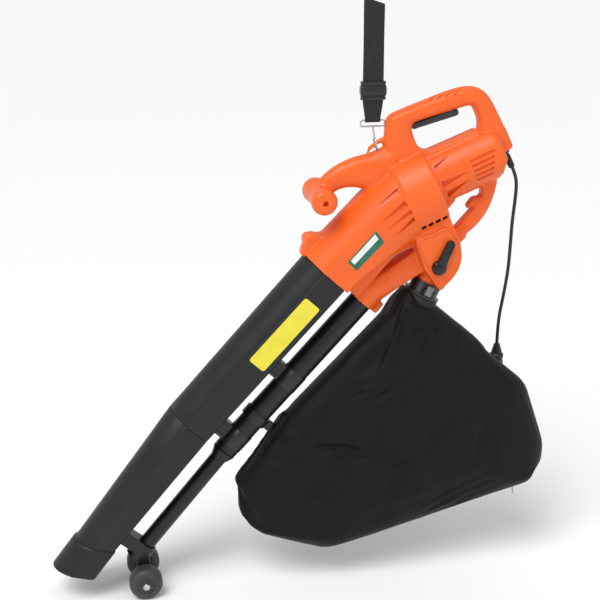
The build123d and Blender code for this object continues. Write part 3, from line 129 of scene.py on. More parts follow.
MOTOR = Axes(-62.63, -149.34, 23.0)
TUBE = Axes(-196.06, -270.08, 227.5, -1)
LOWER = Axes(-433.19, -528.86, 232.5, -1)
BLOWER = Axes(-126.76, -333.58, 227.5, -1)
OUTLET = Axes(-364.57, -593.10, 230.1, -1)
SPIGOT = Axes(-4.57, -296.35, -117.0)
GLAND = Axes(121.28, -88.66, -62.0)
ACROSS = Vector((0.0, 1.0, 0.0))


# Operators


def free() -> None:
    """Leaves edit mode and clears the selection."""
    if bpy.context.mode != "OBJECT":
        bpy.ops.object.mode_set(mode="OBJECT")
    bpy.ops.object.select_all(action="DESELECT")


def pick(obj: Obj) -> None:
    """Selects one object and makes it active.

    Args:
        obj: The object.
    """
    free()
    obj.select_set(True)
    bpy.context.view_layer.objects.active = obj


def modify(obj: Obj, kind: str, **settings: object) -> Obj:
    """Adds a modifier and applies it.

    Args:
        obj: The object to change.
        kind: Blender's name of the modifier type.
        **settings: Properties of the modifier.

    Returns:
        The same object.
    """
    pick(obj)
    made = obj.modifiers.new(kind.lower(), kind)
    for key, value in settings.items():
        setattr(made, key, value)
    bpy.ops.object.modifier_apply(modifier=made.name)
    return obj


def smooth(obj: Obj, angle: float = 35.0) -> Obj:
    """Shades an object smooth apart from its sharp edges.

    Args:
        obj: The object.
        angle: The angle in degrees from which an edge stays sharp.

    Returns:
        The same object.
    """
    pick(obj)
    bpy.ops.object.shade_smooth_by_angle(angle=math.radians(angle))
    return obj


def outward(obj: Obj) -> Obj:
    """Merges doubled points and turns every face outwards.

    Args:
        obj: The object.

    Returns:
        The same object.
    """
    pick(obj)
    bpy.ops.object.mode_set(mode="EDIT")
    bpy.ops.mesh.select_all(action="SELECT")
    bpy.ops.mesh.remove_doubles(threshold=0.00001)
    bpy.ops.mesh.normals_make_consistent(inside=False)
    bpy.ops.object.mode_set(mode="OBJECT")
    return obj


def joined(name: str, *objects: Obj) -> Obj:
    """Joins objects into the first one.

    Args:
        name: Name of the joined object.
        *objects: The objects.

    Returns:
        The first object, which now holds all the meshes.
    """
    free()
    for obj in objects:
        obj.select_set(True)
    bpy.context.view_layer.objects.active = objects[0]
    if len(objects) > 1:
        bpy.ops.object.join()
    objects[0].name = objects[0].data.name = name
    return objects[0]


def copied(obj: Obj, name: str) -> Obj:
    """Copies an object with its own mesh.

    Args:
        obj: The object.
        name: Name of the copy.

    Returns:
        The copy.
    """
    copy = obj.copy()
    copy.data = obj.data.copy()
    copy.name = copy.data.name = name
    bpy.context.scene.collection.objects.link(copy)
    return copy


def mirrored(obj: Obj) -> Obj:
    """Copies an object to the other side of the median plane.

    Args:
        obj: The object.

    Returns:
        The copy on the right.
    """
    copy = copied(obj, f"{obj.name}_right")
    copy.data.transform(Matrix.Scale(-1, 4, ACROSS))
    return outward(copy)


def loft(name: str, loops: Sequence[Loop], ends: Ends = Ends.CAP) -> Obj:
    """Draws a circle out through loops of equal count.

    Args:
        name: Name of the new object.
        loops: Rings of points in metres, in order.
        ends: CAP fills the first and last loop, RING bridges them to each other.

    Returns:
        The new mesh object.
    """
    free()
    bpy.ops.mesh.primitive_circle_add(vertices=len(loops[0]), radius=1.0, fill_type="NOTHING")
    obj = bpy.context.object
    obj.name = obj.data.name = name
    for vert, place in zip(obj.data.vertices, loops[0]):
        vert.co = place
    bpy.ops.object.mode_set(mode="EDIT")
    bpy.ops.mesh.select_mode(type="VERT")
    bpy.ops.mesh.select_all(action="SELECT")
    here = loops[0]
    for there in loops[1:]:
        bpy.ops.mesh.extrude_edges_indiv()
        spot = {tuple(old): new for old, new in zip(here, there)}
        for vert in bmesh.from_edit_mesh(obj.data).verts:
            if vert.select:
                vert.co = spot[tuple(vert.co)]
        here = there
    if ends is Ends.RING:
        bpy.ops.mesh.select_mode(type="EDGE")
        bpy.ops.mesh.select_all(action="DESELECT")
        bpy.ops.mesh.select_non_manifold(
            use_wire=False, use_multi_face=False, use_non_contiguous=False, use_verts=False
        )
        bpy.ops.mesh.bridge_edge_loops()
    else:
        bpy.ops.mesh.select_all(action="SELECT")
        bpy.ops.mesh.fill_holes(sides=0)
    bpy.ops.object.mode_set(mode="OBJECT")
    return outward(obj)


def turned(
    name: str,
    start: Vector,
    way: Vector,
    profile: Sequence[Flat],
    count: int = 48,
    ends: Ends = Ends.CAP,
) -> Obj:
    """Turns a profile about an axis.

    Args:
        name: Name of the new object.
        start: Start of the axis in metres.
        way: Direction of the axis.
        profile: Pairs of distance along the axis and radius in millimetres.
        count: Points round the axis.
        ends: How the first and last circle are closed.

    Returns:
        The new mesh object.
    """
    way = way.normalized()
    side = way.orthogonal().normalized()
    up = way.cross(side)
    loops = []
    for along, radius in profile:
        middle = start + way * along * MM
        angles = [2 * math.pi * step / count for step in range(count)]
        loops.append([middle + (side * math.cos(a) + up * math.sin(a)) * radius * MM for a in angles])
    return loft(name, loops, ends)


def prism(name: str, outline: Loop, push: Vector, edge: float = 0.0) -> Obj:
    """Draws a flat outline out by a vector and rounds its edges.

    Args:
        name: Name of the new object.
        outline: Corner points in metres.
        push: How far and which way the outline is drawn out.
        edge: Radius of the rounded edges in millimetres.

    Returns:
        The new mesh object.
    """
    obj = loft(name, [outline, [Vector(point + push) for point in outline]])
    if edge > 0:
        limit = {"limit_method": "ANGLE", "angle_limit": math.radians(40)}
        modify(obj, "BEVEL", width=edge * MM, segments=3, **limit)
    return obj


def slab(name: str, axes: Axes, outline: Sequence[Flat], half: float, edge: float = 0.0) -> Obj:
    """Draws a side outline out to the same width on both sides.

    Args:
        name: Name of the new object.
        axes: The plane of the outline.
        outline: Corners in millimetres.
        half: Half width in millimetres.
        edge: Radius of the rounded edges in millimetres.

    Returns:
        The new mesh object.
    """
    return prism(name, axes.ring(outline, -half), ACROSS * 2 * half * MM, edge)


def rounded(points: Sequence[Flat], radius: float, steps: int = 5) -> list[Flat]:
    """Rounds the corners of a closed outline.

    Args:
        points: Corners in millimetres.
        radius: Radius of every corner.
        steps: Points on each arc.

    Returns:
        The points of the rounded outline.
    """
    made: list[Flat] = []
    for before, here, after in zip(points[-1:] + points[:-1], points, points[1:] + points[:1]):
        spot = Vector(here)
        one, two = (Vector(before) - spot), (Vector(after) - spot)
        reach = min(radius, 0.49 * one.length, 0.49 * two.length)
        start, end = spot + one.normalized() * reach, spot + two.normalized() * reach
        for step in range(steps):
            t = step / (steps - 1)
            made.append(tuple(start * (1 - t) ** 2 + spot * 2 * t * (1 - t) + end * t**2))
    return made


def arc(middle: Flat, radius: float, start: float, end: float, steps: int) -> list[Flat]:
    """Points on an arc.

    Args:
        middle: Middle of the arc in millimetres.
        radius: Its radius.
        start: Angle of its first point in half turns.
        end: Angle of its last point in half turns.
        steps: Steps from the first point to the last.

    Returns:
        The points.
    """
    angles = [math.pi * (start + (end - start) * step / steps) for step in range(steps + 1)]
    return [(middle[0] + radius * math.cos(a), middle[1] + radius * math.sin(a)) for a in angles]


def flowing(points: Sequence[Sequence[float]], steps: int, closed: bool = True) -> list[tuple[float, ...]]:
    """Runs a smooth curve through points.

    Args:
        points: Points with any number of coordinates.
        steps: Steps from each point to the next.
        closed: Whether the last point runs on to the first.

    Returns:
        The points of the curve.
    """
    made: list[tuple[float, ...]] = []
    count = len(points)
    for i in range(count if closed else count - 1):
        near = [(i + k) % count if closed else min(max(i + k, 0), count - 1) for k in (-1, 0, 1, 2)]
        a, b, c, d = (Vector(points[k]) for k in near)
        for step in range(steps):
            t = step / steps
            bow = (2 * a - 5 * b + 4 * c - d) * t**2 + (3 * b - a - 3 * c + d) * t**3
            made.append(tuple(b + ((c - a) * t + bow) / 2))
    return made if closed else made + [tuple(points[-1])]


def merged_copy(name: str, *nodes: str) -> Obj:
    """Copies CAD meshes into one object, merged and without materials.

    Args:
        name: Name of the new object.
        *nodes: The CAD nodes.

    Returns:
        The new mesh object.
    """
    copies = []
    for node in nodes:
        copy = bpy.data.objects.new(name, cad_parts[node].data.copy())
        bpy.context.scene.collection.objects.link(copy)
        copies.append(copy)
    obj = joined(name, *copies)
    obj.data.materials.clear()
    bpy.ops.mesh.customdata_custom_splitnormals_clear()
    bpy.ops.object.mode_set(mode="EDIT")
    bpy.ops.mesh.select_all(action="SELECT")
    bpy.ops.mesh.remove_doubles(threshold=0.00001)
    bpy.ops.object.mode_set(mode="OBJECT")
    return obj


def softened(name: str, node: str, edge: float) -> Obj:
    """Copies a CAD node and rounds its sharp edges.

    Args:
        name: Name of the new object.
        node: The CAD node.
        edge: Radius of the edges in millimetres.

    Returns:
        The new mesh object.
    """
    obj = merged_copy(name, node)
    bpy.ops.object.mode_set(mode="EDIT")
    bpy.ops.mesh.select_all(action="SELECT")
    bpy.ops.mesh.dissolve_limited(angle_limit=math.radians(1.0))
    bpy.ops.object.mode_set(mode="OBJECT")
    limit = {"limit_method": "ANGLE", "angle_limit": math.radians(35), "use_clamp_overlap": True}
    modify(obj, "BEVEL", width=edge * MM, segments=2, **limit)
    return smooth(obj)


def melted(name: str, node: str, voxel: float, rounds: int) -> Obj:
    """Copies a CAD node and rounds it all over.

    Args:
        name: Name of the new object.
        node: The CAD node.
        voxel: Size of the mesh in millimetres.
        rounds: How often the mesh is smoothed.

    Returns:
        The new mesh object.
    """
    obj = merged_copy(name, node)
    modify(obj, "REMESH", mode="VOXEL", voxel_size=voxel * MM)
    modify(obj, "SMOOTH", factor=0.5, iterations=rounds)
    return smooth(obj, 60)


# Finishes


def linear(code: str) -> tuple[float, float, float, float]:
    """Turns an sRGB hex value to a linear colour.

    Args:
        code: The value with its leading sign.

    Returns:
        Red, green, blue and full cover.
    """
    parts = [int(code[i : i + 2], 16) / 255 for i in (1, 3, 5)]
    bent = [p / 12.92 if p <= 0.04045 else ((p + 0.055) / 1.055) ** 2.4 for p in parts]
    return (*bent, 1.0)


def add(
    tree: Tree,
    kind: str,
    settings: dict[str | int, object] | None = None,
    links: dict[str | int, Socket] | None = None,
) -> bpy.types.Node:
    """Adds a shader node.

    Args:
        tree: The node tree.
        kind: Type of node, without Blender's prefix.
        settings: Properties, socket values, or `stops` for a colour ramp.
        links: Sockets of other nodes by the input that they feed.

    Returns:
        The new node.
    """
    node = tree.nodes.new("ShaderNode" + kind)
    for key, value in (settings or {}).items():
        if key == "stops":
            for element, (place, colour) in zip(node.color_ramp.elements, value):
                element.position, element.color = place, colour
        elif isinstance(key, str) and hasattr(node, key):
            setattr(node, key, value)
        else:
            node.inputs[key].default_value = value
    for key, source in (links or {}).items():
        tree.links.new(source, node.inputs[key])
    return node


def noise(tree: Tree, place: Socket, mm: float, detail: float) -> Socket:
    """Cloudy values with lumps of a size in millimetres."""
    return add(tree, "TexNoise", {"Scale": 1000 / mm, "Detail": detail}, {"Vector": place}).outputs[0]


def bands(tree: Tree, place: Socket, axis: str, mm: float, sway: float = 0.0) -> Socket:
    """Waves across an axis with a pitch in millimetres."""
    look = {"wave_type": "BANDS", "bands_direction": axis, "Distortion": sway}
    return add(tree, "TexWave", look | {"Scale": 100 * math.pi / mm}, {"Vector": place}).outputs["Fac"]


def ramp(tree: Tree, value: Socket, low: float, dark: str, high: float, pale: str) -> Socket:
    """Colours from one sRGB hex value to another between two values."""
    stops = ((low, linear(dark)), (high, linear(pale)))
    return add(tree, "ValToRGB", {"stops": stops}, {"Fac": value}).outputs["Color"]


def spread(tree: Tree, value: Socket, start: Flat, end: Flat) -> Socket:
    """Values stretched from one range to another."""
    ranges = dict(zip(("From Min", "From Max", "To Min", "To Max"), (*start, *end)))
    return add(tree, "MapRange", ranges, {"Value": value}).outputs["Result"]


def bumped(tree: Tree, height: Socket, strength: float, mm: float, under: Socket | None = None) -> Socket:
    """Normals of a relief of a height in millimetres, laid over another one if there is one."""
    links = {"Height": height} | ({} if under is None else {"Normal": under})
    return add(tree, "Bump", {"Strength": strength, "Distance": mm * MM}, links).outputs["Normal"]


@dataclass(frozen=True)
class Finish:
    """A named surface, made once and shared."""

    name: str

    def material(self) -> bpy.types.Material:
        """Hands out the material, made at its first use.

        Returns:
            The material.
        """
        made = bpy.data.materials.get(self.name)
        if made is None:
            made = bpy.data.materials.new(self.name)
            made.use_nodes = True
            tree = made.node_tree
            tree.nodes.clear()
            shader = self.paint(tree, add(tree, "TexCoord").outputs["Object"])
            add(tree, "OutputMaterial", {}, {"Surface": shader.outputs["BSDF"]})
        return made

    def paint(self, tree: Tree, place: Socket) -> bpy.types.Node:
        """Draws the surface and hands out its shader; each kind of finish has its own way."""
        raise NotImplementedError


@dataclass(frozen=True)
class Moulded(Finish):
    """Injection-moulded plastic: spark-eroded grain, faint flow clouding, paler rubbed edges."""

    colour: str = "#2A2A2C"
    deep: str = "#222224"
    rubbed: str = "#4A4A4C"
    rough: float = 0.4
    grain_mm: float = 1.6
    relief: float = 0.12
    cloud_mm: float = 70.0
    wear: float = 0.35
    coat: float = 0.0
    gloss: float = 0.5

    def paint(self, tree: Tree, place: Socket) -> bpy.types.Node:
        """Clouds the colour, rubs the edges and grains the surface.

        Args:
            tree: The node tree.
            place: The piece's own coordinates.

        Returns:
            The shader.
        """
        cloud = noise(tree, place, self.cloud_mm, 4.0)
        edge = add(tree, "NewGeometry").outputs["Pointiness"]
        rub = spread(tree, edge, (0.51, 0.62), (0.0, self.wear))
        tone = ramp(tree, cloud, 0.3, self.deep, 0.7, self.colour)
        colour = add(tree, "Mix", {"data_type": "RGBA", 7: linear(self.rubbed)}, {0: rub, 6: tone})
        # The grain is drawn several times its real 0.2 mm so that it still shows in the render.
        grain = noise(tree, place, self.grain_mm, 2.0)
        links = {
            "Base Color": colour.outputs[2],
            "Roughness": spread(tree, cloud, (0.3, 0.7), (self.rough - 0.05, self.rough + 0.07)),
            "Normal": bumped(tree, grain, self.relief, 0.4),
        }
        settings = {"IOR": 1.5, "Coat Weight": self.coat, "Specular IOR Level": self.gloss}
        return add(tree, "BsdfPrincipled", settings, links)


@dataclass(frozen=True)
class Woven(Finish):
    """Plain-woven polyester: crossing threads, a dull sheen and dusty patches."""

    colour: str = "#1F1F22"
    dusty: str = "#2C2C2F"
    thread_mm: float = 1.5
    relief: float = 0.35
    cloud_mm: float = 55.0
    ribbed: bool = False
    crumple_mm: float = 0.0
    gloss: float = 0.3
    sheen: float = 0.05

    def paint(self, tree: Tree, place: Socket) -> bpy.types.Node:
        """Crosses two sets of threads, or runs ribs across a webbing.

        Args:
            tree: The node tree.
            place: The piece's own coordinates.

        Returns:
            The shader.
        """
        # Real threads of about 0.4 mm are too fine to show, so they are drawn coarser.
        weft = bands(tree, place, "Z", self.thread_mm, 0.6)
        warp = bands(tree, place, "X", self.thread_mm * (2.5 if self.ribbed else 1.0), 0.6)
        cross = add(tree, "Math", {"operation": "ADD"}, {0: weft, 1: warp}).outputs[0]
        relief = bumped(tree, cross, self.relief, 0.6)
        cloud = noise(tree, place, self.cloud_mm, 6.0)
        if self.crumple_mm > 0:
            # Sharp crests with slack between them, as in thin cloth that was folded away.
            crests = {"noise_type": "RIDGED_MULTIFRACTAL", "normalize": True, "Scale": 9.0, "Detail": 2.0}
            fold = add(tree, "TexNoise", crests | {"Distortion": 0.6}, {"Vector": place}).outputs[0]
            relief = bumped(tree, fold, 0.8, self.crumple_mm, relief)
        dust = add(tree, "Math", {"operation": "MULTIPLY"}, {0: cloud, 1: cross}).outputs[0]
        links = {
            "Base Color": ramp(tree, dust, 0.25, self.colour, 0.85, self.dusty),
            "Roughness": spread(tree, cloud, (0.3, 0.7), (0.46, 0.62)),
            "Normal": relief,
        }
        settings = {"Sheen Weight": self.sheen, "Sheen Roughness": 0.4, "Specular IOR Level": self.gloss}
        return add(tree, "BsdfPrincipled", settings, links)


@dataclass(frozen=True)
class Metal(Finish):
    """Bare or plated metal: drawn or stacked lines, cloudy plating."""

    colour: str = "#C9CACC"
    deep: str = "#8E9094"
    rough: float = 0.28
    line_mm: float = 1.2
    relief: float = 0.08
    cloud_mm: float = 9.0

    def paint(self, tree: Tree, place: Socket) -> bpy.types.Node:
        """Clouds the plating and draws fine lines across it.

        Args:
            tree: The node tree.
            place: The piece's own coordinates.

        Returns:
            The shader.
        """
        cloud = noise(tree, place, self.cloud_mm, 5.0)
        links = {
            "Base Color": ramp(tree, cloud, 0.3, self.deep, 0.65, self.colour),
            "Roughness": spread(tree, cloud, (0.3, 0.7), (self.rough - 0.08, self.rough + 0.1)),
            "Normal": bumped(tree, bands(tree, place, "X", self.line_mm), self.relief, 0.3),
        }
        return add(tree, "BsdfPrincipled", {"Metallic": 1.0}, links)


# Orange ABS gives a satin, saturated shell with soft highlights.
ORANGE_ABS = Moulded(
    "abs_orange_satin",
    colour="#EC641E", deep="#E55C18", rubbed="#FF9150",
    rough=0.38, grain_mm=1.8, relief=0.10, cloud_mm=80.0, wear=0.3, gloss=0.4,
)
# Black polypropylene blow-moulded tube: greyish, broad dull highlight.
TUBE_PP = Moulded(
    "polypropylene_tube_black",
    colour="#1E1E21", deep="#19191B", rubbed="#38383C",
    rough=0.42, grain_mm=2.2, relief=0.14, cloud_mm=60.0, wear=0.3, gloss=0.35,
)
# Extruded black pipe with a shinier skin.
PIPE_PP = Moulded(
    "polypropylene_pipe_black",
    colour="#161618", deep="#111112", rubbed="#323236",
    rough=0.32, grain_mm=2.0, relief=0.08, cloud_mm=50.0, wear=0.25, gloss=0.4,
)
# Glass-filled nylon of clips and brackets.
CLIP_NYLON = Moulded(
    "nylon_clip_black",
    colour="#1A1A1B", deep="#131314", rubbed="#3A3A3C",
    rough=0.34, grain_mm=1.4, relief=0.10, cloud_mm=30.0, wear=0.35,
)
# Polished ABS of the lever: sharp highlights.
LEVER_ABS = Moulded(
    "abs_lever_gloss_black",
    colour="#0E0F10", deep="#09090A", rubbed="#242426",
    rough=0.2, grain_mm=3.0, relief=0.03, cloud_mm=40.0, wear=0.2, coat=0.15, gloss=0.4,
)
# Soft polyethylene wheels, scuffed grey.
WHEEL_PE = Moulded(
    "polyethylene_wheel_grey",
    colour="#38363A", deep="#2F2E31", rubbed="#58565A",
    rough=0.55, grain_mm=1.6, relief=0.2, cloud_mm=25.0, wear=0.4,
)
# Dull dark nylon of trigger and inner pieces.
TRIGGER_NYLON = Moulded(
    "nylon_trigger_dark",
    colour="#2F2629", deep="#272022", rubbed="#4A3E41",
    rough=0.42, grain_mm=1.4, relief=0.12, cloud_mm=30.0, wear=0.3,
)
# Bakelite-like brown of brush gear and commutator insulation.
BRUSH_RESIN = Moulded(
    "phenolic_resin_brown",
    colour="#3A2A20", deep="#2C2018", rubbed="#5A4436",
    rough=0.5, grain_mm=1.2, relief=0.1, cloud_mm=20.0, wear=0.2,
)
# Soft PVC of lead, sleeve and plug.
LEAD_PVC = Moulded(
    "pvc_lead_black",
    colour="#19191A", deep="#131314", rubbed="#2C2C2E",
    rough=0.42, grain_mm=1.2, relief=0.1, cloud_mm=30.0, wear=0.2,
)
# Grey acetal latch plate.
LATCH_POM = Moulded(
    "acetal_latch_grey",
    colour="#6E6F72", deep="#5C5D60", rubbed="#8C8D90",
    rough=0.38, grain_mm=1.2, relief=0.08, cloud_mm=20.0, wear=0.3,
)
# Self-adhesive vinyl, faintly creased.
YELLOW_VINYL = Moulded(
    "vinyl_label_yellow",
    colour="#E2D52F", deep="#D8CA22", rubbed="#EFE661",
    rough=0.3, grain_mm=3.0, relief=0.05, cloud_mm=14.0, wear=0.2,
)
GREEN_VINYL = Moulded(
    "vinyl_label_green",
    colour="#1F6B57", deep="#185847", rubbed="#3C8B76",
    rough=0.3, grain_mm=3.0, relief=0.05, cloud_mm=14.0, wear=0.2,
)
WHITE_VINYL = Moulded(
    "vinyl_label_white",
    colour="#E9ECEA", deep="#D9DEDB", rubbed="#F6F8F7",
    rough=0.32, grain_mm=3.0, relief=0.05, cloud_mm=14.0, wear=0.1,
)
# Thin polyester bag cloth and its tapes.
BAG_CLOTH = Woven(
    "polyester_bag_black",
    colour="#080809", dusty="#111112",
    thread_mm=0.9, relief=0.2, cloud_mm=60.0, crumple_mm=5.0, gloss=0.18, sheen=0.02,
)
ZIP_TAPE = Woven(
    "polyester_zip_tape",
    colour="#131315", dusty="#202022",
    thread_mm=0.8, relief=0.3, cloud_mm=30.0,
)
WEBBING = Woven(
    "polypropylene_webbing",
    colour="#18181A", dusty="#28282B",
    thread_mm=1.6, relief=0.5, cloud_mm=25.0, ribbed=True,
)
# Zinc-plated wire and bright turned steel.
ZINC_STEEL = Metal(
    "steel_zinc_plated",
    colour="#D4D5D6", deep="#A9ABAE",
    rough=0.25, line_mm=1.6, relief=0.05,
)
BRIGHT_STEEL = Metal(
    "steel_turned_bright",
    colour="#CFD0D2", deep="#9FA2A6",
    rough=0.22, line_mm=0.8, relief=0.08,
)
# Blackened pin steel, dark with a dull shine.
BLACK_STEEL = Metal(
    "steel_black_oxide",
    colour="#3A3A3D", deep="#262629",
    rough=0.38, line_mm=0.8, relief=0.05,
)
# Stamped laminations stacked along the motor.
CORE_STEEL = Metal(
    "steel_lamination_stack",
    colour="#77797C", deep="#4E5053",
    rough=0.42, line_mm=1.0, relief=0.5,
)
# Enamelled copper wire, seen as wound lines.
COPPER = Metal(
    "copper_enamelled_wire",
    colour="#B8663A", deep="#8A4524",
    rough=0.35, line_mm=1.1, relief=0.6,
)
NICKEL_BRASS = Metal(
    "brass_nickel_plated",
    colour="#CFC9B8", deep="#A8A18D",
    rough=0.22, line_mm=1.0, relief=0.04,
)


def mount(obj: Obj, body: Body, finish: Finish, slot: str, *nodes: str) -> Obj:
    """Gives a piece its finish, its body and the CAD nodes that it stands for.

    Args:
        obj: The finished piece.
        body: The body that it moves with.
        finish: Its surface.
        slot: The record's material slot; not used.
        *nodes: CAD nodes that the piece replaces.

    Returns:
        The piece.
    """
    obj.data.materials.clear()
    obj.data.materials.append(finish.material())
    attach(obj, body.value)
    if nodes:
        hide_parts(*nodes)
    LOG.info("%s rides on %s", obj.name, body.value)
    return obj


Hard = tuple[str, str, float, Body, Finish, str]


# Sub-assemblies


@dataclass
class Studio:
    """Camera at the photograph's angle, pale floor and soft light."""

    target: tuple[float, float, float] = (-231.9, 0.0, -326.3)
    azimuth: float = -10.0
    elevation: float = 18.5
    distance: float = 2300.0
    view_angle: float = 25.0
    image: float = 600.0
    # Square lamps by name: place in metres, side in metres and power in watts.
    lamps: tuple[tuple[str, tuple[float, float, float], float, float], ...] = (
        ("key", (-1.5, -1.5, 2.4), 1.6, 24.0),
        ("fill", (1.9, -1.8, 0.6), 2.2, 6.0),
    )
    sun_power: float = 1.5
    sun_angle: float = 36.0
    sun_way: tuple[float, float, float] = (0.45, 0.55, -1.0)
    sky: float = 0.62
    floor_size: float = 80.0
    far: float = 120.0

    def axes(self) -> tuple[Vector, Vector, Vector]:
        """Directions of the camera.

        Returns:
            Its right, its up and its back.
        """
        a, e = math.radians(self.azimuth), math.radians(self.elevation)
        back = Vector((math.sin(a) * math.cos(e), -math.cos(a) * math.cos(e), math.sin(e)))
        right = Vector((math.cos(a), math.sin(a), 0.0))
        return right, back.cross(right), back

    def eye(self) -> Vector:
        """Place of the camera in metres."""
        return (Vector(self.target) + self.axes()[2] * self.distance) * MM

    def sight(self, px: float, py: float) -> Vector:
        """Direction from the camera through a pixel of the photograph.

        Args:
            px: Pixels from the left.
            py: Pixels from the top.

        Returns:
            The direction.
        """
        right, up, back = self.axes()
        focal = self.image / 2 / math.tan(math.radians(self.view_angle) / 2)
        half = self.image / 2
        return (right * (px - half) / focal - up * (py - half) / focal - back).normalized()

    def hit(self, obj: Obj, pixel: Flat) -> tuple[Vector, Vector]:
        """Looks at an object through a pixel of the photograph.

        Args:
            obj: The object.
            pixel: Pixels from the left and from the top.

        Returns:
            The point that is seen and the surface's normal there.
        """
        found, place, normal, _ = obj.ray_cast(self.eye(), self.sight(*pixel))
        if not found:
            raise ValueError(f"nothing under pixel {pixel}")
        return place, normal

    def build(self, low: float) -> None:
        """Sets up the camera, the floor and the lights.

        Args:
            low: Height of the floor in metres.
        """
        right, up, back = self.axes()
        lens = bpy.data.cameras.new("camera")
        lens.sensor_fit = "HORIZONTAL"
        lens.angle = math.radians(self.view_angle)
        lens.clip_end = self.far
        turn = Matrix((right, up, back)).transposed().to_4x4()
        bpy.context.scene.camera = self.place("camera", lens, Matrix.Translation(self.eye()) @ turn)
        bpy.context.scene.view_settings.view_transform = "Standard"
        self.lay_floor(low)
        for name, spot, size, power in self.lamps:
            lamp = bpy.data.lights.new(name, "AREA")
            lamp.size, lamp.energy = size, power
            aim = self.facing(Vector(self.target) * MM - Vector(spot))
            self.place(name, lamp, Matrix.Translation(spot) @ aim)
        sun = bpy.data.lights.new("sun", "SUN")
        sun.energy, sun.angle = self.sun_power, math.radians(self.sun_angle)
        self.place("sun", sun, self.facing(Vector(self.sun_way)))
        world = bpy.data.worlds.new("studio")
        world.use_nodes = True
        bpy.context.scene.world = world
        shade = world.node_tree.nodes["Background"]
        shade.inputs["Color"].default_value = (1.0, 1.0, 1.0, 1.0)
        shade.inputs["Strength"].default_value = self.sky

    def facing(self, way: Vector) -> Matrix:
        """Turns a lamp to a direction."""
        return way.to_track_quat("-Z", "Y").to_matrix().to_4x4()

    def place(self, name: str, data: bpy.types.ID, pose: Matrix) -> Obj:
        """Puts a camera or a lamp in the scene.

        Args:
            name: Name of the object.
            data: The camera or lamp.
            pose: Its place and turn.

        Returns:
            The new object.
        """
        obj = bpy.data.objects.new(name, data)
        obj.matrix_world = pose
        bpy.context.scene.collection.objects.link(obj)
        return obj

    def lay_floor(self, low: float) -> None:
        """Lays a pale paper floor under the wheels.

        Args:
            low: Its height in metres.
        """
        free()
        bpy.ops.mesh.primitive_plane_add(size=self.floor_size, location=(0.0, 0.0, low))
        floor = bpy.context.object
        floor.name = "floor"
        paper = bpy.data.materials.new("paper_backdrop")
        paper.use_nodes = True
        tree = paper.node_tree
        shader = tree.nodes["Principled BSDF"]
        shader.inputs["Roughness"].default_value = 0.9
        shader.inputs["Specular IOR Level"].default_value = 0.1
        cloud = add(tree, "TexNoise", {"Scale": 3.0})
        tone = ramp(tree, cloud.outputs[0], 0.3, "#F7F7F8", 0.7, "#FDFDFD")
        tree.links.new(tone, shader.inputs["Base Color"])
        floor.data.materials.append(paper)
        floor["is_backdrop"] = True


@dataclass
class Lead:
    """Short supply lead with its sleeve and plug."""

    route: tuple[tuple[float, float, float], ...] = (
        (132.55, 0.0, -109.85),
        (141.94, 0.0, -127.51),
        (144.05, 6.0, -161.85),
        (144.05, 18.0, -209.85),
        (148.55, 34.0, -259.85),
        (151.55, 48.0, -309.85),
        (148.55, 58.0, -359.85),
        (143.55, 66.0, -409.85),
        (143.55, 66.0, -452.85),
    )
    radius: float = 3.0
    length: float = 353.0
    plug_radius: float = 13.0
    plug_neck: float = 18.0
    plug_length: float = 42.0
    sleeve_root: tuple[Flat, ...] = ((-10.0, 7.9), (-4.0, 7.9), (-4.0, 4.9), (1.0, 4.9))
    sleeve_end: tuple[Flat, ...] = ((23.2, 5.2), (24.0, 4.4))
    # Ring of a ribbed neck: distance along and out from where it starts.
    sleeve_rib: tuple[Flat, ...] = ((0.0, 0.0), (2.0, -0.1), (2.3, -1.0), (3.3, -1.0))
    plug_rib: tuple[Flat, ...] = ((0.0, 0.0), (2.4, 0.5), (2.8, -0.6), (3.6, -0.5))

    def build(self) -> None:
        """Makes the lead, the ribbed sleeve and the plug."""
        plug = self.plug()
        shape = bpy.data.curves.new("lead", "CURVE")
        shape.dimensions = "3D"
        shape.bevel_depth = self.radius * MM
        shape.bevel_resolution = 6
        shape.use_fill_caps = True
        line = shape.splines.new("NURBS")
        line.points.add(len(self.route) - 1)
        for point, place in zip(line.points, self.route):
            point.co = (*(Vector(place) * MM), 1.0)
        line.order_u = 3
        line.use_endpoint_u = True
        line.resolution_u = 12
        obj = bpy.data.objects.new("lead", shape)
        bpy.context.scene.collection.objects.link(obj)
        mount(obj, Body.TOOL, LEAD_PVC, "rubber", "cord")
        Vector(self.route[0]) * MM
        self.sleeve()

    def ribs(self, rib: Sequence[Flat], count: int, first: Flat, step: Flat) -> list[Flat]:
        """Profile of equal rings in a row on a tapered neck.

        Args:
            rib: Profile of one ring.
            count: Number of rings.
            first: Place and radius of the first ring in millimetres.
            step: Change of place and radius from ring to ring.

        Returns:
            The points of the profile.
        """
        starts = [(first[0] + i * step[0], first[1] + i * step[1]) for i in range(count)]
        return [(along + start, out + wide) for start, wide in starts for along, out in rib]

    def sleeve(self) -> None:
        """Tapered strain relief with bending ribs."""
        ribs = self.ribs(self.sleeve_rib, 6, (1.5, 6.2), (3.6, -0.14))
        profile = [*self.sleeve_root, *ribs, *self.sleeve_end]
        obj = smooth(turned("lead_sleeve", GLAND.at(0), GLAND.way(1), profile, 32), 40)
        mount(obj, Body.TOOL, LEAD_PVC, "rubber", "strain_relief")

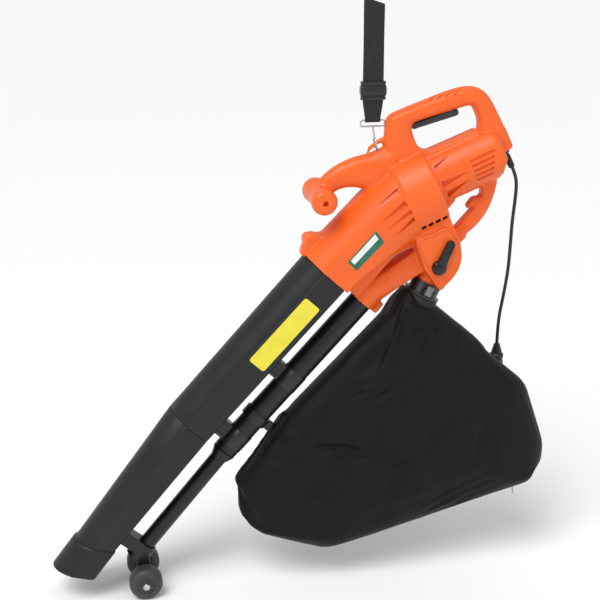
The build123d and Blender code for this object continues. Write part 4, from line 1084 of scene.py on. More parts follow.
    def plug(self) -> Obj:
        """Two-pin plug with a ribbed neck and a finger waist.

        Returns:
            The finished piece.
        """
        top = Vector(self.route[-1]) * MM
        profile = [(0.05, 4.6)] + self.ribs(self.plug_rib, 4, (0.8, 5.6), (4.0, 1.1))
        long, wide = self.plug_length, self.plug_radius
        profile += [
            (self.plug_neck, wide - 2.6),
            (self.plug_neck + 2.0, wide - 0.6),
            (self.plug_neck + 5.0, wide - 0.1),
            (self.plug_neck + 12.0, wide - 1.4),
            (long - 5.0, wide - 0.1),
            (long - 1.0, wide - 0.6),
            (long - 0.2, wide - 1.8),
        ]
        obj = smooth(turned("plug_body", top, Vector((0.0, 0.0, -1.0)), profile, 40), 40)
        return mount(obj, Body.TOOL, LEAD_PVC, "rubber", "plug")


@dataclass
class Housing:
    """Orange shells: fan casing with its band, intake duct, motor barrel, handles and strut."""

    studio: Studio
    voxel: float = 1.8
    rounds: int = 5
    soft_rounds: int = 26
    seam: float = 0.15
    duct_gills: tuple[tuple[Flat, Flat, Flat], ...] = (
        ((375.4, 208.9), (396.5, 188.2), (400.5, 193.8)),
        ((380.5, 223.5), (404.5, 200.8), (408.5, 205.6)),
        ((387.5, 230.0), (410.5, 209.5), (413.6, 213.8)),
        ((395.0, 236.8), (413.5, 216.6), (415.5, 220.6)),
    )
    barrel_gills: tuple[tuple[Flat, Flat, Flat], ...] = (
        ((449.5, 155.0), (433.5, 166.5), (437.0, 173.0)),
        ((468.5, 171.5), (441.0, 182.0), (444.0, 188.0)),
        ((469.5, 179.5), (446.5, 191.5), (448.6, 198.0)),
    )
    gill_deep: float = 6.5
    gill_point: float = 0.7
    gill_over: float = 6.0
    gill_tip: float = -0.3
    backing: float = 3.0
    backing_over: float = -1.0
    barrel: float = 46.0
    wall: float = 9.0
    barrel_from: float = 140.0
    barrel_profile: tuple[Flat, ...] = ((0.0, 43.0), (36.0, 43.0), (44.0, 34.0))
    # The stretch of wall behind the louvres, in degrees and millimetres.
    vent_low: float = -38.0
    vent_turn: float = 6.0
    vent_turns: int = 12
    vent_edge: float = 6.0
    vent_out: float = 8.0
    vent_deep: float = 3.0
    vent_rows: int = 5
    vent_start: float = 123.0
    vent_long: float = 46.0
    vent_step: float = 4.0
    vent_top: float = 14.5
    vent_pitch: float = 8.8
    vent_tall: float = 4.6
    vent_rise: float = 0.2
    limb_sides: int = 32
    fullness: float = 0.78
    trigger_slot: tuple[Flat, ...] = ((57.5, 86), (145, 78), (147, 104), (142, 113), (62, 127), (57, 120))
    trigger_half: float = 9.4
    slot_places: tuple[float, ...] = (9.0, 22.0, 35.0, 48.0)
    slot: tuple[Flat, ...] = ((-4.6, -53.6), (4.6, -53.0), (4.6, -46.8), (-4.6, -47.4))
    slot_out: float = 80.0
    slot_deep: float = 26.0
    lobe: tuple[Flat, ...] = (
        (-8, -66), (20, -66), (45, -66), (54, -84), (56.8, -102), (54.8, -119), (48.5, -134),
        (37, -148), (21, -158), (2, -164), (-6, -158), (-8, -140), (-12, -120), (-12, -90),
    )
    lobe_half: float = 54.0
    bar_front: float = 124.0
    bar_rise: float = 56.0
    bar_half: float = 54.0
    bar_profile: tuple[Flat, ...] = (
        (0.0, 12.0), (0.8, 16.6), (2.6, 19.6), (5.5, 21.4), (10.0, 22.2), (16.0, 22.0), (26.0, 21.0),
        (40.0, 20.0), (54.0, 19.8),
    )
    bar_hole: tuple[Flat, ...] = ((-4.0, 4.8), (9.0, 4.8))
    # Stations of the swept limbs: inner edge, outer edge and half width.
    handle: tuple[Station, ...] = (
        (58, 52, 3, 60, 20), (58, 72, 9, 88, 19), (59, 88, 16, 110, 18), (62, 99, 23, 124, 17.5),
        (69, 104, 35, 132.5, 17.5), (84, 102.6, 64, 132.5, 17.5), (102, 100.3, 95, 131, 17.5),
        (122, 97.5, 126, 129.5, 17.5), (144, 94, 156, 126, 17.5), (159, 92, 177, 119.5, 17.5),
        (165.5, 89, 190.5, 109, 17.5), (167.5, 80, 198.5, 94, 17.5), (167.5, 66, 202.5, 72, 17.5),
        (165, 55, 204.5, 50, 18), (158, 40, 206, 28, 19), (154, 28, 206, 8, 20),
    )
    arm: tuple[Station, ...] = (
        (-119, 46, -127, 72, 12.5), (-110, 49.5, -116, 81, 13.5), (-98, 53, -99, 88, 15),
        (-84, 52.5, -76, 92.5, 16.5), (-69.4, 47.6, -48.9, 92.5, 18), (-53, 36, -26, 88.5, 20),
        (-40, 18, -2, 84, 23), (-24, 0, 24, 80, 25),
    )
    strut: tuple[Station, ...] = (
        (148, -20, 177, -24, 13), (142.5, -38.5, 166.5, -43, 13), (133, -55, 151.5, -67, 13),
        (118, -70.5, 131, -89, 13), (97, -84, 105, -105.5, 13), (74, -91, 78, -114, 13),
        (50, -93, 52, -116, 13),
    )
    trims: tuple[tuple[Flat, ...], ...] = (
        (
            (12, 86), (50, 84), (56, 80), (58, 61), (120, 58.5), (159, 54), (160, 42), (215, 30),
            (215, 165), (0, 165), (0, 112), (14, 106),
        ),
        ((-150, 102), (-150, 34), (-75, 39), (-56, 41), (-47, 52), (-32, 86), (-32, 102)),
        (
            (174, -24), (164.5, -41), (149, -65), (129, -86.5), (103.5, -102.5), (78, -110.5), (78, -135),
            (215, -135), (230, -4), (210, -4), (188, -6.5), (183, -14),
        ),
        (
            (54.5, -122), (49, -135), (38, -149), (22, -159.5), (6, -166), (2, -168), (2, -190), (80, -190),
            (80, -122),
        ),
    )
    trim_half: float = 62.0
    lug: tuple[Flat, ...] = (
        (-181, -26), (-181, -4), (-178, 3.5), (-171, 6.5), (-161, 4), (-151, -3), (-140, -5), (-124, -1),
        (-110, 4), (-110, -26),
    )
    lug_half: float = 15.0
    web: tuple[Flat, ...] = ((-3, -36), (-3, -76), (-100, -76), (-130, -90), (-235, -90), (-235, -36))
    web_half: float = 26.0
    # Where the rounder forms begin, along and above the motor's axis, and how fast they set in.
    handle_low: float = 52.0
    arm_back: float = -18.0
    arm_low: float = 22.0
    arm_foot: float = -40.0
    arm_slope: float = 0.9
    strut_front: float = 78.0
    strut_top: float = -50.0
    box_front: float = -14.0
    box_top: float = -74.0
    blend: Flat = (14.0, 12.0)
    grades: int = 10
    eye: Flat = (-104.2, -69.2)
    eye_half: float = 8.0
    eye_reach: float = 20.0
    grip_marks: tuple[tuple[Flat, Flat, Flat], ...] = (
        ((436.6, 94.8), (428.6, 101.0), (429.4, 102.4)),
        ((445.0, 92.6), (437.0, 98.8), (437.8, 100.2)),
        ((453.2, 90.6), (445.2, 96.8), (446.0, 98.2)),
        ((461.4, 89.0), (453.4, 95.2), (454.2, 96.6)),
    )
    grip_levels: tuple[float, float, float] = (3.0, -0.4, -1.5)

    def build(self) -> Obj:
        """Makes both shells.

        Returns:
            A copy of the whole skin for other pieces to sit on.
        """
        skin = merged_copy("housing_skin", "housing_left", "housing_right")
        marks = self.duct_gills + self.barrel_gills
        gills = [[self.studio.hit(skin, spot) for spot in mark] for mark in marks]
        end = turned("barrel_end", MOTOR.at(self.barrel_from), MOTOR.way(1), self.barrel_profile)
        self.fuse(joined("housing_skin", skin, end))
        self.cut(skin, [slab("trim", MOTOR, trim, self.trim_half) for trim in self.trims])
        deep = -self.gill_deep - self.backing
        forms = [self.wedge(gill, self.backing_over, -self.backing, deep) for gill in gills]
        forms += [self.vent_wall(), self.bar_end()]
        forms += [mirrored(form) for form in forms]
        for name, stations in (("handle", self.handle), ("arm", self.arm), ("strut", self.strut)):
            forms.append(self.limb(name, stations))
        forms.append(slab("lobe", MOTOR, flowing(self.lobe, 4), self.lobe_half))
        forms.append(slab("lug", MOTOR, self.lug, self.lug_half))
        forms.append(slab("web", TUBE, self.web, self.web_half))
        skin = joined("housing_skin", skin, *forms)
        self.fuse(skin)
        modify(skin, "SMOOTH", factor=0.5, iterations=self.rounds)
        self.soften(skin)
        cuts = [self.wedge(gill, self.gill_over, self.gill_tip, -self.gill_deep) for gill in gills]
        cuts += self.slots()
        cuts += [mirrored(cut) for cut in cuts]
        for mark in self.grip_marks:
            cuts.append(self.wedge([self.studio.hit(skin, spot) for spot in mark], *self.grip_levels))
        cuts.append(slab("trigger_slot", MOTOR, self.trigger_slot, self.trigger_half))
        self.cut(skin, cuts)
        for side, name in ((-1, "left"), (1, "right")):
            self.half(skin, side, name)
        return skin

    def fuse(self, skin: Obj) -> None:
        """Fuses overlapping forms to one closed skin, with its points mirrored about the seam.

        Args:
            skin: The forms, joined in one object.
        """
        shift = Matrix.Translation((0.0, self.voxel * MM / 2, 0.0))
        skin.data.transform(shift)
        modify(skin, "REMESH", mode="VOXEL", voxel_size=self.voxel * MM)
        skin.data.transform(shift.inverted())

    def cut(self, skin: Obj, cuts: list[Obj]) -> None:
        """Cuts forms out of the skin and discards them.

        Args:
            skin: The housing's skin.
            cuts: The forms.
        """
        cutter = joined("cutter", *cuts)
        modify(skin, "BOOLEAN", operation="DIFFERENCE", object=cutter, solver="MANIFOLD")
        bpy.data.objects.remove(cutter)

    def limb(self, name: str, stations: Sequence[Station]) -> Obj:
        """Sweeps a rounded section along stations.

        Args:
            name: Name of the new object.
            stations: Inner edge, outer edge and half width of each section.

        Returns:
            The new mesh object.
        """
        loops = []
        for inner_along, inner_up, outer_along, outer_up, half in flowing(stations, 4, False):
            inner, outer = Vector((inner_along, inner_up)), Vector((outer_along, outer_up))
            middle, reach = (inner + outer) / 2, (outer - inner) / 2
            loop = []
            for step in range(self.limb_sides):
                turn = 2 * math.pi * step / self.limb_sides
                c, s = math.cos(turn), math.sin(turn)
                spot = middle + reach * math.copysign(abs(c) ** self.fullness, c)
                loop.append(MOTOR.at(spot.x, spot.y, half * math.copysign(abs(s) ** self.fullness, s)))
            loops.append(loop)
        return loft(name, loops)

    def half(self, skin: Obj, side: int, name: str) -> None:
        """Parts one shell from the skin at the seam.

        Args:
            skin: The housing's skin.
            side: 1 for the right, -1 for the left.
            name: Name of the side.
        """
        half = copied(skin, f"shell_{name}")
        pick(half)
        bpy.ops.object.mode_set(mode="EDIT")
        bpy.ops.mesh.select_all(action="SELECT")
        bpy.ops.mesh.bisect(
            plane_co=(0.0, side * self.seam * MM, 0.0),
            plane_no=(0.0, side, 0.0),
            use_fill=True,
            clear_inner=True,
            clear_outer=False,
        )
        bpy.ops.object.mode_set(mode="OBJECT")
        smooth(half, 50)
        mount(half, Body.TOOL, ORANGE_ABS, "orange_shell", f"housing_{name}")
        LOG.info("%s has %d faces", half.name, len(half.data.polygons))

    def soften(self, skin: Obj) -> None:
        """Rounds the handles, the arm, the cross bar, the strut and the selector box further.

        Args:
            skin: The housing's skin.
        """
        start, ahead, above = MOTOR.at(0), MOTOR.way(1), MOTOR.way(0, 1)
        eye = Vector(self.eye) * MM
        slow, fast = self.blend
        levels: dict[int, list[int]] = {}
        for vert in skin.data.vertices:
            offset = (vert.co - start) / MM
            along, up = offset.dot(ahead), offset.dot(above)
            arm_low = self.arm_low + max(along - self.arm_foot, 0.0) * self.arm_slope
            share = max(
                (up - self.handle_low) / slow,
                min((self.arm_back - along) / slow, (up - arm_low) / fast),
                min((along - self.strut_front) / slow, (self.strut_top - up) / fast),
                min((along - self.box_front) / fast, (self.box_top - up) / fast),
            )
            if abs(vert.co.y) < self.eye_half * MM and (vert.co.xz - eye).length < self.eye_reach * MM:
                share = 0.0
            level = round(self.grades * min(max(share, 0.0), 1.0))
            if level:
                levels.setdefault(level, []).append(vert.index)
        group = skin.vertex_groups.new(name="soft")
        for level, members in levels.items():
            group.add(members, level / self.grades, "REPLACE")
        modify(skin, "SMOOTH", factor=0.5, iterations=self.soft_rounds, vertex_group="soft")
        skin.vertex_groups.clear()

    def wedge(self, gill: list[tuple[Vector, Vector]], over: float, tip_deep: float, deep: float) -> Obj:
        """Wedge that is wide at the band and runs out to a tip.

        Args:
            gill: Point and normal of the skin at the tip and at both wide corners.
            over: Height of its roof above the skin in millimetres.
            tip_deep: Height of its floor at the tip.
            deep: Height of its floor at the wide end.

        Returns:
            The new mesh object.
        """
        (tip, tip_way), (near, near_way), (far, far_way) = gill
        side = (far - near).normalized() * self.gill_point * MM
        corners = [(tip - side, tip_way), (near, near_way), (far, far_way), (tip + side, tip_way)]
        floors = [tip_deep, deep, deep, tip_deep]
        floor = [place + way * low * MM for (place, way), low in zip(corners, floors)]
        return loft("gill", [floor, [place + way * over * MM for place, way in corners]])

    def vent_wall(self) -> Obj:
        """Closed stretch of the barrel's wall that the louvres are cut into.

        Returns:
            The new mesh object.
        """
        angles = [math.radians(self.vent_low + step * self.vent_turn) for step in range(self.vent_turns + 1)]
        inside = self.barrel - self.wall
        section = [(self.barrel, a) for a in angles] + [(inside, a) for a in reversed(angles)]
        loops = []
        for along in (self.vent_start - self.vent_edge, self.vent_start + self.vent_long + self.vent_edge):
            loops.append([MOTOR.at(along, r * math.sin(a), -r * math.cos(a)) for r, a in section])
        return loft("vent_wall", loops)

    def bar_end(self) -> Obj:
        """Swollen left end of the cross bar."""
        end = MOTOR.at(-self.bar_front, self.bar_rise, -self.bar_half)
        return turned("bar_end", end, ACROSS, self.bar_profile)

    def slots(self) -> list[Obj]:
        """Cutters of the louvres, of the row of four slots and of the bar's screw hole.

        Returns:
            The cutters of the left side.
        """
        cuts = []
        start = self.barrel + self.vent_out
        for row in range(self.vent_rows):
            end = self.vent_start + self.vent_long - row * self.vent_step
            rise = self.vent_top - row * self.vent_pitch
            reach = start - math.sqrt(self.barrel**2 - rise**2)
            low = rise - reach * self.vent_rise - self.vent_tall / 2
            high = low + self.vent_tall
            corners = [(self.vent_start, low), (end, low), (end, high), (self.vent_start, high)]
            outline = MOTOR.ring(rounded(corners, self.vent_tall * 0.45), -start)
            push = (ACROSS + MOTOR.way(0, 1) * self.vent_rise) * (reach + self.vent_deep) * MM
            cuts.append(prism("vent", outline, push))
        for middle in self.slot_places:
            corners = [(middle + along, up) for along, up in self.slot]
            cuts.append(prism("slot", MOTOR.ring(corners, -self.slot_out), ACROSS * self.slot_deep * MM))
        end = MOTOR.at(-self.bar_front, self.bar_rise, -self.bar_half)
        cuts.append(turned("bar_hole", end, ACROSS, self.bar_hole, 32))
        return cuts


@dataclass
class SuctionTube:
    """Arched suction tube in two lengths with its mouthpiece."""

    half: float = 48.0
    dome: float = 36.6
    deep: float = 44.0
    spring: float = 5.4
    groove: float = 2.6
    flare: float = 1.0
    joint_half: float = 45.0
    joint_dome: float = 32.6
    end_half: float = 38.0
    end_dome: float = 28.0
    end_deep: float = 33.0
    upper: float = 351.0
    lower: float = 288.0
    socket: float = 25.0
    wall: float = 2.5
    corner: float = 7.0
    cap_grow: float = 3.2
    cap_long: float = 62.0
    cap_slant: float = 0.4452

    def section(self, half: float, dome: float, deep: float, grow: float = 0.0) -> list[Flat]:
        """Arched section of the tube.

        Args:
            half: Half width in millimetres.
            dome: Height of the arch above the axis.
            deep: Depth of the floor below the axis.
            grow: Distance that the section is grown by all round.

        Returns:
            Pairs of distance to the right and up.
        """
        half, dome, deep = half + grow, dome + grow, deep + grow
        foot = half - self.groove
        rise = dome - self.spring
        radius = (rise**2 + foot**2) / (2 * rise)
        start = math.asin((radius - rise) / radius) / math.pi
        points = arc((0.0, dome - radius), radius, start, 1.0 - start, 28)
        low, top = -deep, self.spring
        side = [(-foot - 0.2, top - 1.2), (-half + 0.7, top - 2.6), (-half, top - 4.4)]
        side += [(-half - self.flare * share, low * share) for share in (0.3, 0.55)]
        turn = self.corner + grow
        wide = half + self.flare
        bend = arc((turn - wide, low + turn), turn, 1.0, 1.5, 5)
        floor = [(x * (wide - turn), low) for x in (-0.5, 0.0)]
        left = side + bend + floor
        return points + left + [(-x, y) for x, y in reversed(left[:-1])]

    def half_at(self, along: float) -> float:
        """Half width of the upper length at a distance from its collar."""
        return self.half + (self.joint_half - self.half) * along / (self.upper - self.socket)

    def loop(self, axes: Axes, along: float, size: tuple[float, ...], grow: float = 0.0) -> Loop:
        """Section of half width, dome and depth set square across an axis."""
        return [axes.at(along, up, right) for right, up in self.section(*size, grow)]

    def build(self) -> None:
        """Makes both lengths and the mouthpiece."""
        self.build_upper()
        self.build_lower()
        self.build_cap()

    def build_upper(self) -> None:
        """Upper length, from inside the collar to the joint."""
        first, last = (self.half, self.dome, self.deep), (self.joint_half, self.joint_dome, self.deep)
        end = self.upper
        outer = [(-self.socket + 0.3, first, -0.6), (-self.socket + 1.2, first, 0.0), (0.0, first, 0.0)]
        for share in (0.25, 0.5, 0.75):
            between = tuple(a + (b - a) * share for a, b in zip(first, last))
            outer.append(((end - self.socket) * share, between, 0.0))
        outer += [(end - self.socket, last, 0.0), (end - 1.4, last, 0.0)]
        outer += [(end - 0.5, last, -0.4), (end - 0.1, last, -1.1)]
        inner = [(end - 0.1, last, -self.wall), (end - self.socket, last, -self.wall)]
        inner += [(0.0, first, -self.wall), (-self.socket + 0.3, first, -self.wall)]
        loops = [self.loop(TUBE, along, size, grow) for along, size, grow in outer + inner]
        obj = smooth(loft("suction_tube_upper", loops, Ends.RING), 30)
        mount(obj, Body.TOOL, TUBE_PP, "black_tube", "vac_tube_upper")

    def build_lower(self) -> None:
        """Lower length with the spigot that plugs into the upper one."""
        first = (self.joint_half, self.joint_dome, self.deep)
        last = (self.end_half, self.end_dome, self.end_deep)
        fit = -self.wall - 0.3
        start, end, inside = self.upper, self.lower, self.upper - self.socket + 0.3
        lip = [(inside, fit), (start - 0.2, fit), (start + 0.1, -1.1)]
        lip += [(start + 0.5, -0.4), (start + 1.4, 0.0)]
        loops = [self.loop(TUBE, along, first, grow) for along, grow in lip]
        one, two = self.loop(TUBE, start, first), self.loop(LOWER, end, last)
        for share in (0.25, 0.5, 0.75):
            loops.append([a.lerp(b, share) for a, b in zip(one, two)])
        for along, grow in ((end - 0.1, 0.0), (end, fit), (end + 7.0, fit), (end + 7.0, fit - self.wall)):
            loops.append(self.loop(LOWER, along, last, grow))
        for axes, along, size in ((LOWER, end - 1.0, last), (TUBE, start, first), (TUBE, inside, first)):
            loops.append(self.loop(axes, along, size, fit - self.wall))
        obj = smooth(loft("suction_tube_lower", loops, Ends.RING), 30)
        mount(obj, Body.TOOL, TUBE_PP, "black_tube", "vac_tube_lower")

    def slanted(self, along: float, grow: float) -> Loop:
        """Section of the mouthpiece, cut level with the ground.

        Args:
            along: Distance of its top on the tube's axis in millimetres.
            grow: Distance that the section is grown by all round.

        Returns:
            The points in metres.
        """
        size = (self.end_half, self.end_dome, self.end_deep)
        return [
            LOWER.at(along + (up - self.end_dome) * self.cap_slant, up, right)
            for right, up in self.section(*size, grow)
        ]

    def build_cap(self) -> None:
        """Mouthpiece with a stepped collar."""
        start, end = self.lower, self.lower + self.cap_long
        grow = self.cap_grow
        outer = [(start - 1.0, 0.3), (start, grow - 0.9), (start + 1.2, grow - 0.2), (start + 3.0, grow)]
        outer += [(end - 6.0, grow), (end - 0.8, grow), (end, grow - 0.7)]
        inner = [(end, 0.2 - self.wall), (start + 30.0, -self.wall), (start - 1.0, 0.1)]
        loops = [self.slanted(along, grow) for along, grow in outer + inner]
        obj = smooth(loft("suction_mouthpiece", loops, Ends.RING), 30)
        mount(obj, Body.TOOL, TUBE_PP, "black_tube", "nozzle_cap")


@dataclass
class BlowerTube:
    """Round blower tube under the suction tube, with its clips."""

    radius: float = 21.0
    wall: float = 2.5
    long: float = 352.0
    socket: float = 25.0
    outlet_radius: float = 14.5
    outlet_long: float = 258.0
    cone: float = 18.0
    clips: tuple[float, float] = (165.0, 306.0)
    clip_long: float = 34.0
    clip_half: float = 12.0
    drop: float = 94.0
    floor: float = 44.4

    def build(self) -> None:
        """Makes both lengths and dresses the clips."""
        r, w = self.radius, self.wall
        start, end, out = -self.socket + 0.3, self.long, self.outlet_long
        upper = [(start, r - 0.5), (start + 0.7, r), (end - 1.0, r), (end - 0.2, r - 0.6), (end, r - 1.2)]
        upper += [(end, r - w), (start, r - w)]
        obj = smooth(turned("blower_tube_upper", BLOWER.at(0), BLOWER.way(1), upper, 56, Ends.RING), 30)
        mount(obj, Body.TOOL, PIPE_PP, "black_tube", "blower_tube_upper")
        o, inside = self.outlet_radius, -self.socket + 2.0
        lower = [(inside, r - w - 0.4), (0.8, r - w - 0.4), (1.3, r - 0.6), (2.2, r), (4.0, r)]
        lower += [(self.cone, o + 0.6), (self.cone + 4.0, o), (out - 1.2, o), (out, o - 0.8)]
        lower += [(out, o - w), (self.cone, o - w), (inside, o - w)]
        obj = smooth(turned("blower_tube_lower", OUTLET.at(0), OUTLET.way(1), lower, 56, Ends.RING), 30)
        mount(obj, Body.TOOL, PIPE_PP, "black_tube", "blower_tube_lower")
        for name, along in zip(("upper", "lower"), self.clips):
            self.clip(name, along)

    def clip(self, name: str, along: float) -> None:
        """Thin ring round the tube with a ribbed block up to the suction tube's floor.

        Args:
            name: Which of the two clips.
            along: Its start on the suction tube's axis in millimetres.
        """
        r, long = self.radius, self.clip_long
        profile = [(0.0, r + 0.1), (0.0, r + 0.6), (0.4, r + 0.9), (long - 0.4, r + 0.9)]
        profile += [(long, r + 0.6), (long, r + 0.1)]
        ring = turned("ring", TUBE.at(along, -self.drop), TUBE.way(1), profile, 56, Ends.RING)
        block = self.bar(along + 2.0, along + long - 2.0, self.clip_half, 1.2)
        middles = [along + long * share for share in (0.25, 0.5, 0.75)]
        ribs = [self.bar(middle - 1.0, middle + 1.0, self.clip_half + 1.6, 0.6) for middle in middles]
        obj = smooth(joined(f"tube_clip_{name}", block, ring, *ribs), 40)
        mount(obj, Body.TOOL, CLIP_NYLON, "dark_plastic", f"tube_bracket_{name}")

    def bar(self, start: float, end: float, half: float, edge: float) -> Obj:
        """Upright bar from the ring to the suction tube's floor.

        Args:
            start: Its near side on the suction tube's axis in millimetres.
            end: Its far side.
            half: Half width.
            edge: Radius of its edges.

        Returns:
            The new mesh object.
        """
        low, high = -self.drop + self.radius + 0.5, -self.floor
        return slab("bar", TUBE, [(start, low), (end, low), (end, high), (start, high)], half, edge)


@dataclass
class RunningGear:
    """Axle carrier with its two fat wheels."""

    along: float = 268.0
    drop: float = 30.5
    radius: float = 29.0
    near: float = 21.0
    wide: float = 34.0
    bore: float = 4.05
    shoulders: Flat = (10.0, 11.0)
    # Outer face from rim to hub: distance out from the wheel's width and radius.
    dish: tuple[Flat, ...] = ((-0.2, 16.0), (-1.8, 15.2), (-2.0, 9.4), (-0.3, 8.6), (-0.1, 6.4))
    spoke: tuple[Flat, ...] = ((8.0, -2.2), (15.8, -1.5), (15.8, 1.5), (8.0, 2.2))

    def build(self) -> None:
        """Makes the carrier and the wheels."""
        carrier = melted("axle_carrier", "wheel_bracket", 1.2, 10)
        mount(carrier, Body.TOOL, CLIP_NYLON, "dark_plastic", "wheel_bracket")
        for side, body in ((-1, Body.WHEEL_LEFT), (1, Body.WHEEL_RIGHT)):
            self.wheel(side, body)

    def wheel(self, side: int, body: Body) -> None:
        """Wheel with round shoulders, a dished outer face and three faint spokes.

        Args:
            side: 1 for the right, -1 for the left.
            body: The body of the wheel.
        """
        start = OUTLET.at(self.along, -self.drop, side * self.near)
        r, w = self.radius, self.wide
        inner, outer = self.shoulders
        profile = [(0.0, self.bore), (0.0, 16.0)] + arc((inner, r - inner), inner, 1.0, 0.5, 6)
        profile += [(w / 2, r)] + arc((w - outer, r - outer), outer, 0.5, 0.0, 7)
        profile += [(w + out, radius) for out, radius in self.dish] + [(w + self.dish[-1][0], self.bore)]
        wheel = turned(f"wheel_{body.value}", start, ACROSS * side, profile, 64, Ends.RING)
        spokes = []
        for step in range(3):
            a = math.radians(90 + 120 * step + 12)
            out, flank = Vector((math.cos(a), 0, math.sin(a))), Vector((-math.sin(a), 0, math.cos(a)))
            hub = start + ACROSS * side * (w - 2.6) * MM
            ring = [hub + (out * far + flank * aside) * MM for far, aside in self.spoke]
            spokes.append(prism("spoke", ring, ACROSS * side * 1.9 * MM, 0.5))
        obj = smooth(joined(f"{body.value}_tread", wheel, *spokes), 35)
        mount(obj, body, WHEEL_PE, "wheel_plastic", body.value)


@dataclass
class Selector:
    """Change-over plate on the box's left side with its black lever."""

    lobe: tuple[Flat, ...]
    back: float = 7.5
    drop: float = 127.0
    angle: float = 43.0
    long: float = 44.0
    hub: float = 12.5
    tip: float = 7.5
    floor: float = 58.3
    thick: float = 7.0
    root: float = 0.35
    pocket_at: float = 0.82
    pocket: tuple[Flat, ...] = ((-7, -4.6), (9, -4.6), (9, 4.6), (-7, 4.6))
    pocket_cut: float = 3.4
    plate_in: float = 53.0
    plate_thick: float = 3.2
    plate_size: float = 0.94
    hub_in: float = 56.6
    spindle_end: float = 51.7
    spindle: tuple[Flat, ...] = ((0.0, 4.4), (0.6, 5.0), (115.0, 5.0))
    middle: Flat = (22.0, -112.0)
    rim: tuple[Flat, ...] = (
        (0.935, 56.0), (0.935, 57.3), (0.925, 57.8), (0.90, 57.8), (0.89, 57.3), (0.885, 56.0)
    )
    dome: tuple[Flat, ...] = (
        (0.0, 11.6), (0.6, 12.4), (5.2, 12.5), (7.2, 11.9), (8.9, 10.3), (10.2, 7.6), (11.0, 4.2), (11.3, 1.2)
    )

    def build(self) -> None:
        """Makes the plate and the lever."""
        self.cover()
        self.lever()

    def cover(self) -> None:
        """Lobe-shaped plate with a raised rim."""
        face = self.ring(self.plate_size, self.plate_in)
        plate = prism("plate", face, -ACROSS * self.plate_thick * MM, 0.8)
        edge = loft("rim", [self.ring(size, out) for size, out in self.rim], Ends.RING)
        obj = smooth(joined("selector_cover", plate, edge), 40)
        mount(obj, Body.TOOL, ORANGE_ABS, "orange_shell", "selector_plate")

    def ring(self, size: float, out: float) -> Loop:
        """Outline of the lobe.

        Args:
            size: Share of its full size.
            out: Distance to the left in millimetres.

        Returns:
            The points in metres.
        """
        middle = Vector(self.middle)
        spots = [middle + (Vector(spot) - middle) * size for spot in flowing(self.lobe, 4)]
        return MOTOR.ring(spots, -out)

    def lever(self) -> None:
        """Tapered grip with a pocket near its end and a domed hub."""
        pivot = Axes(*(MOTOR.at(self.back, -self.drop) / MM).xz, MOTOR.turn + self.angle)
        grip = self.shank(pivot)
        hub = turned("hub", pivot.at(0, 0, -self.hub_in), -ACROSS, self.dome)
        spindle = turned("spindle", pivot.at(0, 0, self.spindle_end), -ACROSS, self.spindle, 32)
        obj = smooth(joined("selector_grip", grip, hub, spindle), 40)
        mount(obj, Body.SELECTOR, LEVER_ABS, "lever_black", "selector_lever")

    def shank(self, pivot: Axes) -> Obj:
        """Grip with its pocket cut out.

        Args:
            pivot: The lever's own axes.

        Returns:
            The new mesh object.
        """
        root = self.long * self.root
        outline = arc((self.long, 0.0), self.tip * 0.95, -0.5, 0.5, 12)
        neck, foot = self.tip * 1.02, self.hub * 0.78
        outline += [(root, neck), (0.0, foot), (0.0, -foot), (root, -neck)]
        grip = prism("shank", pivot.ring(outline, -self.floor), -ACROSS * (self.thick + 1.2) * MM, 1.6)
        pocket = rounded([(self.long * self.pocket_at + along, up) for along, up in self.pocket], 3.0)
        outline = pivot.ring(pocket, -self.floor - self.thick - 3.0)
        cut = prism("pocket", outline, ACROSS * self.pocket_cut * MM)
        modify(grip, "BOOLEAN", operation="DIFFERENCE", object=cut, solver="EXACT")
        bpy.data.objects.remove(cut)
        return grip


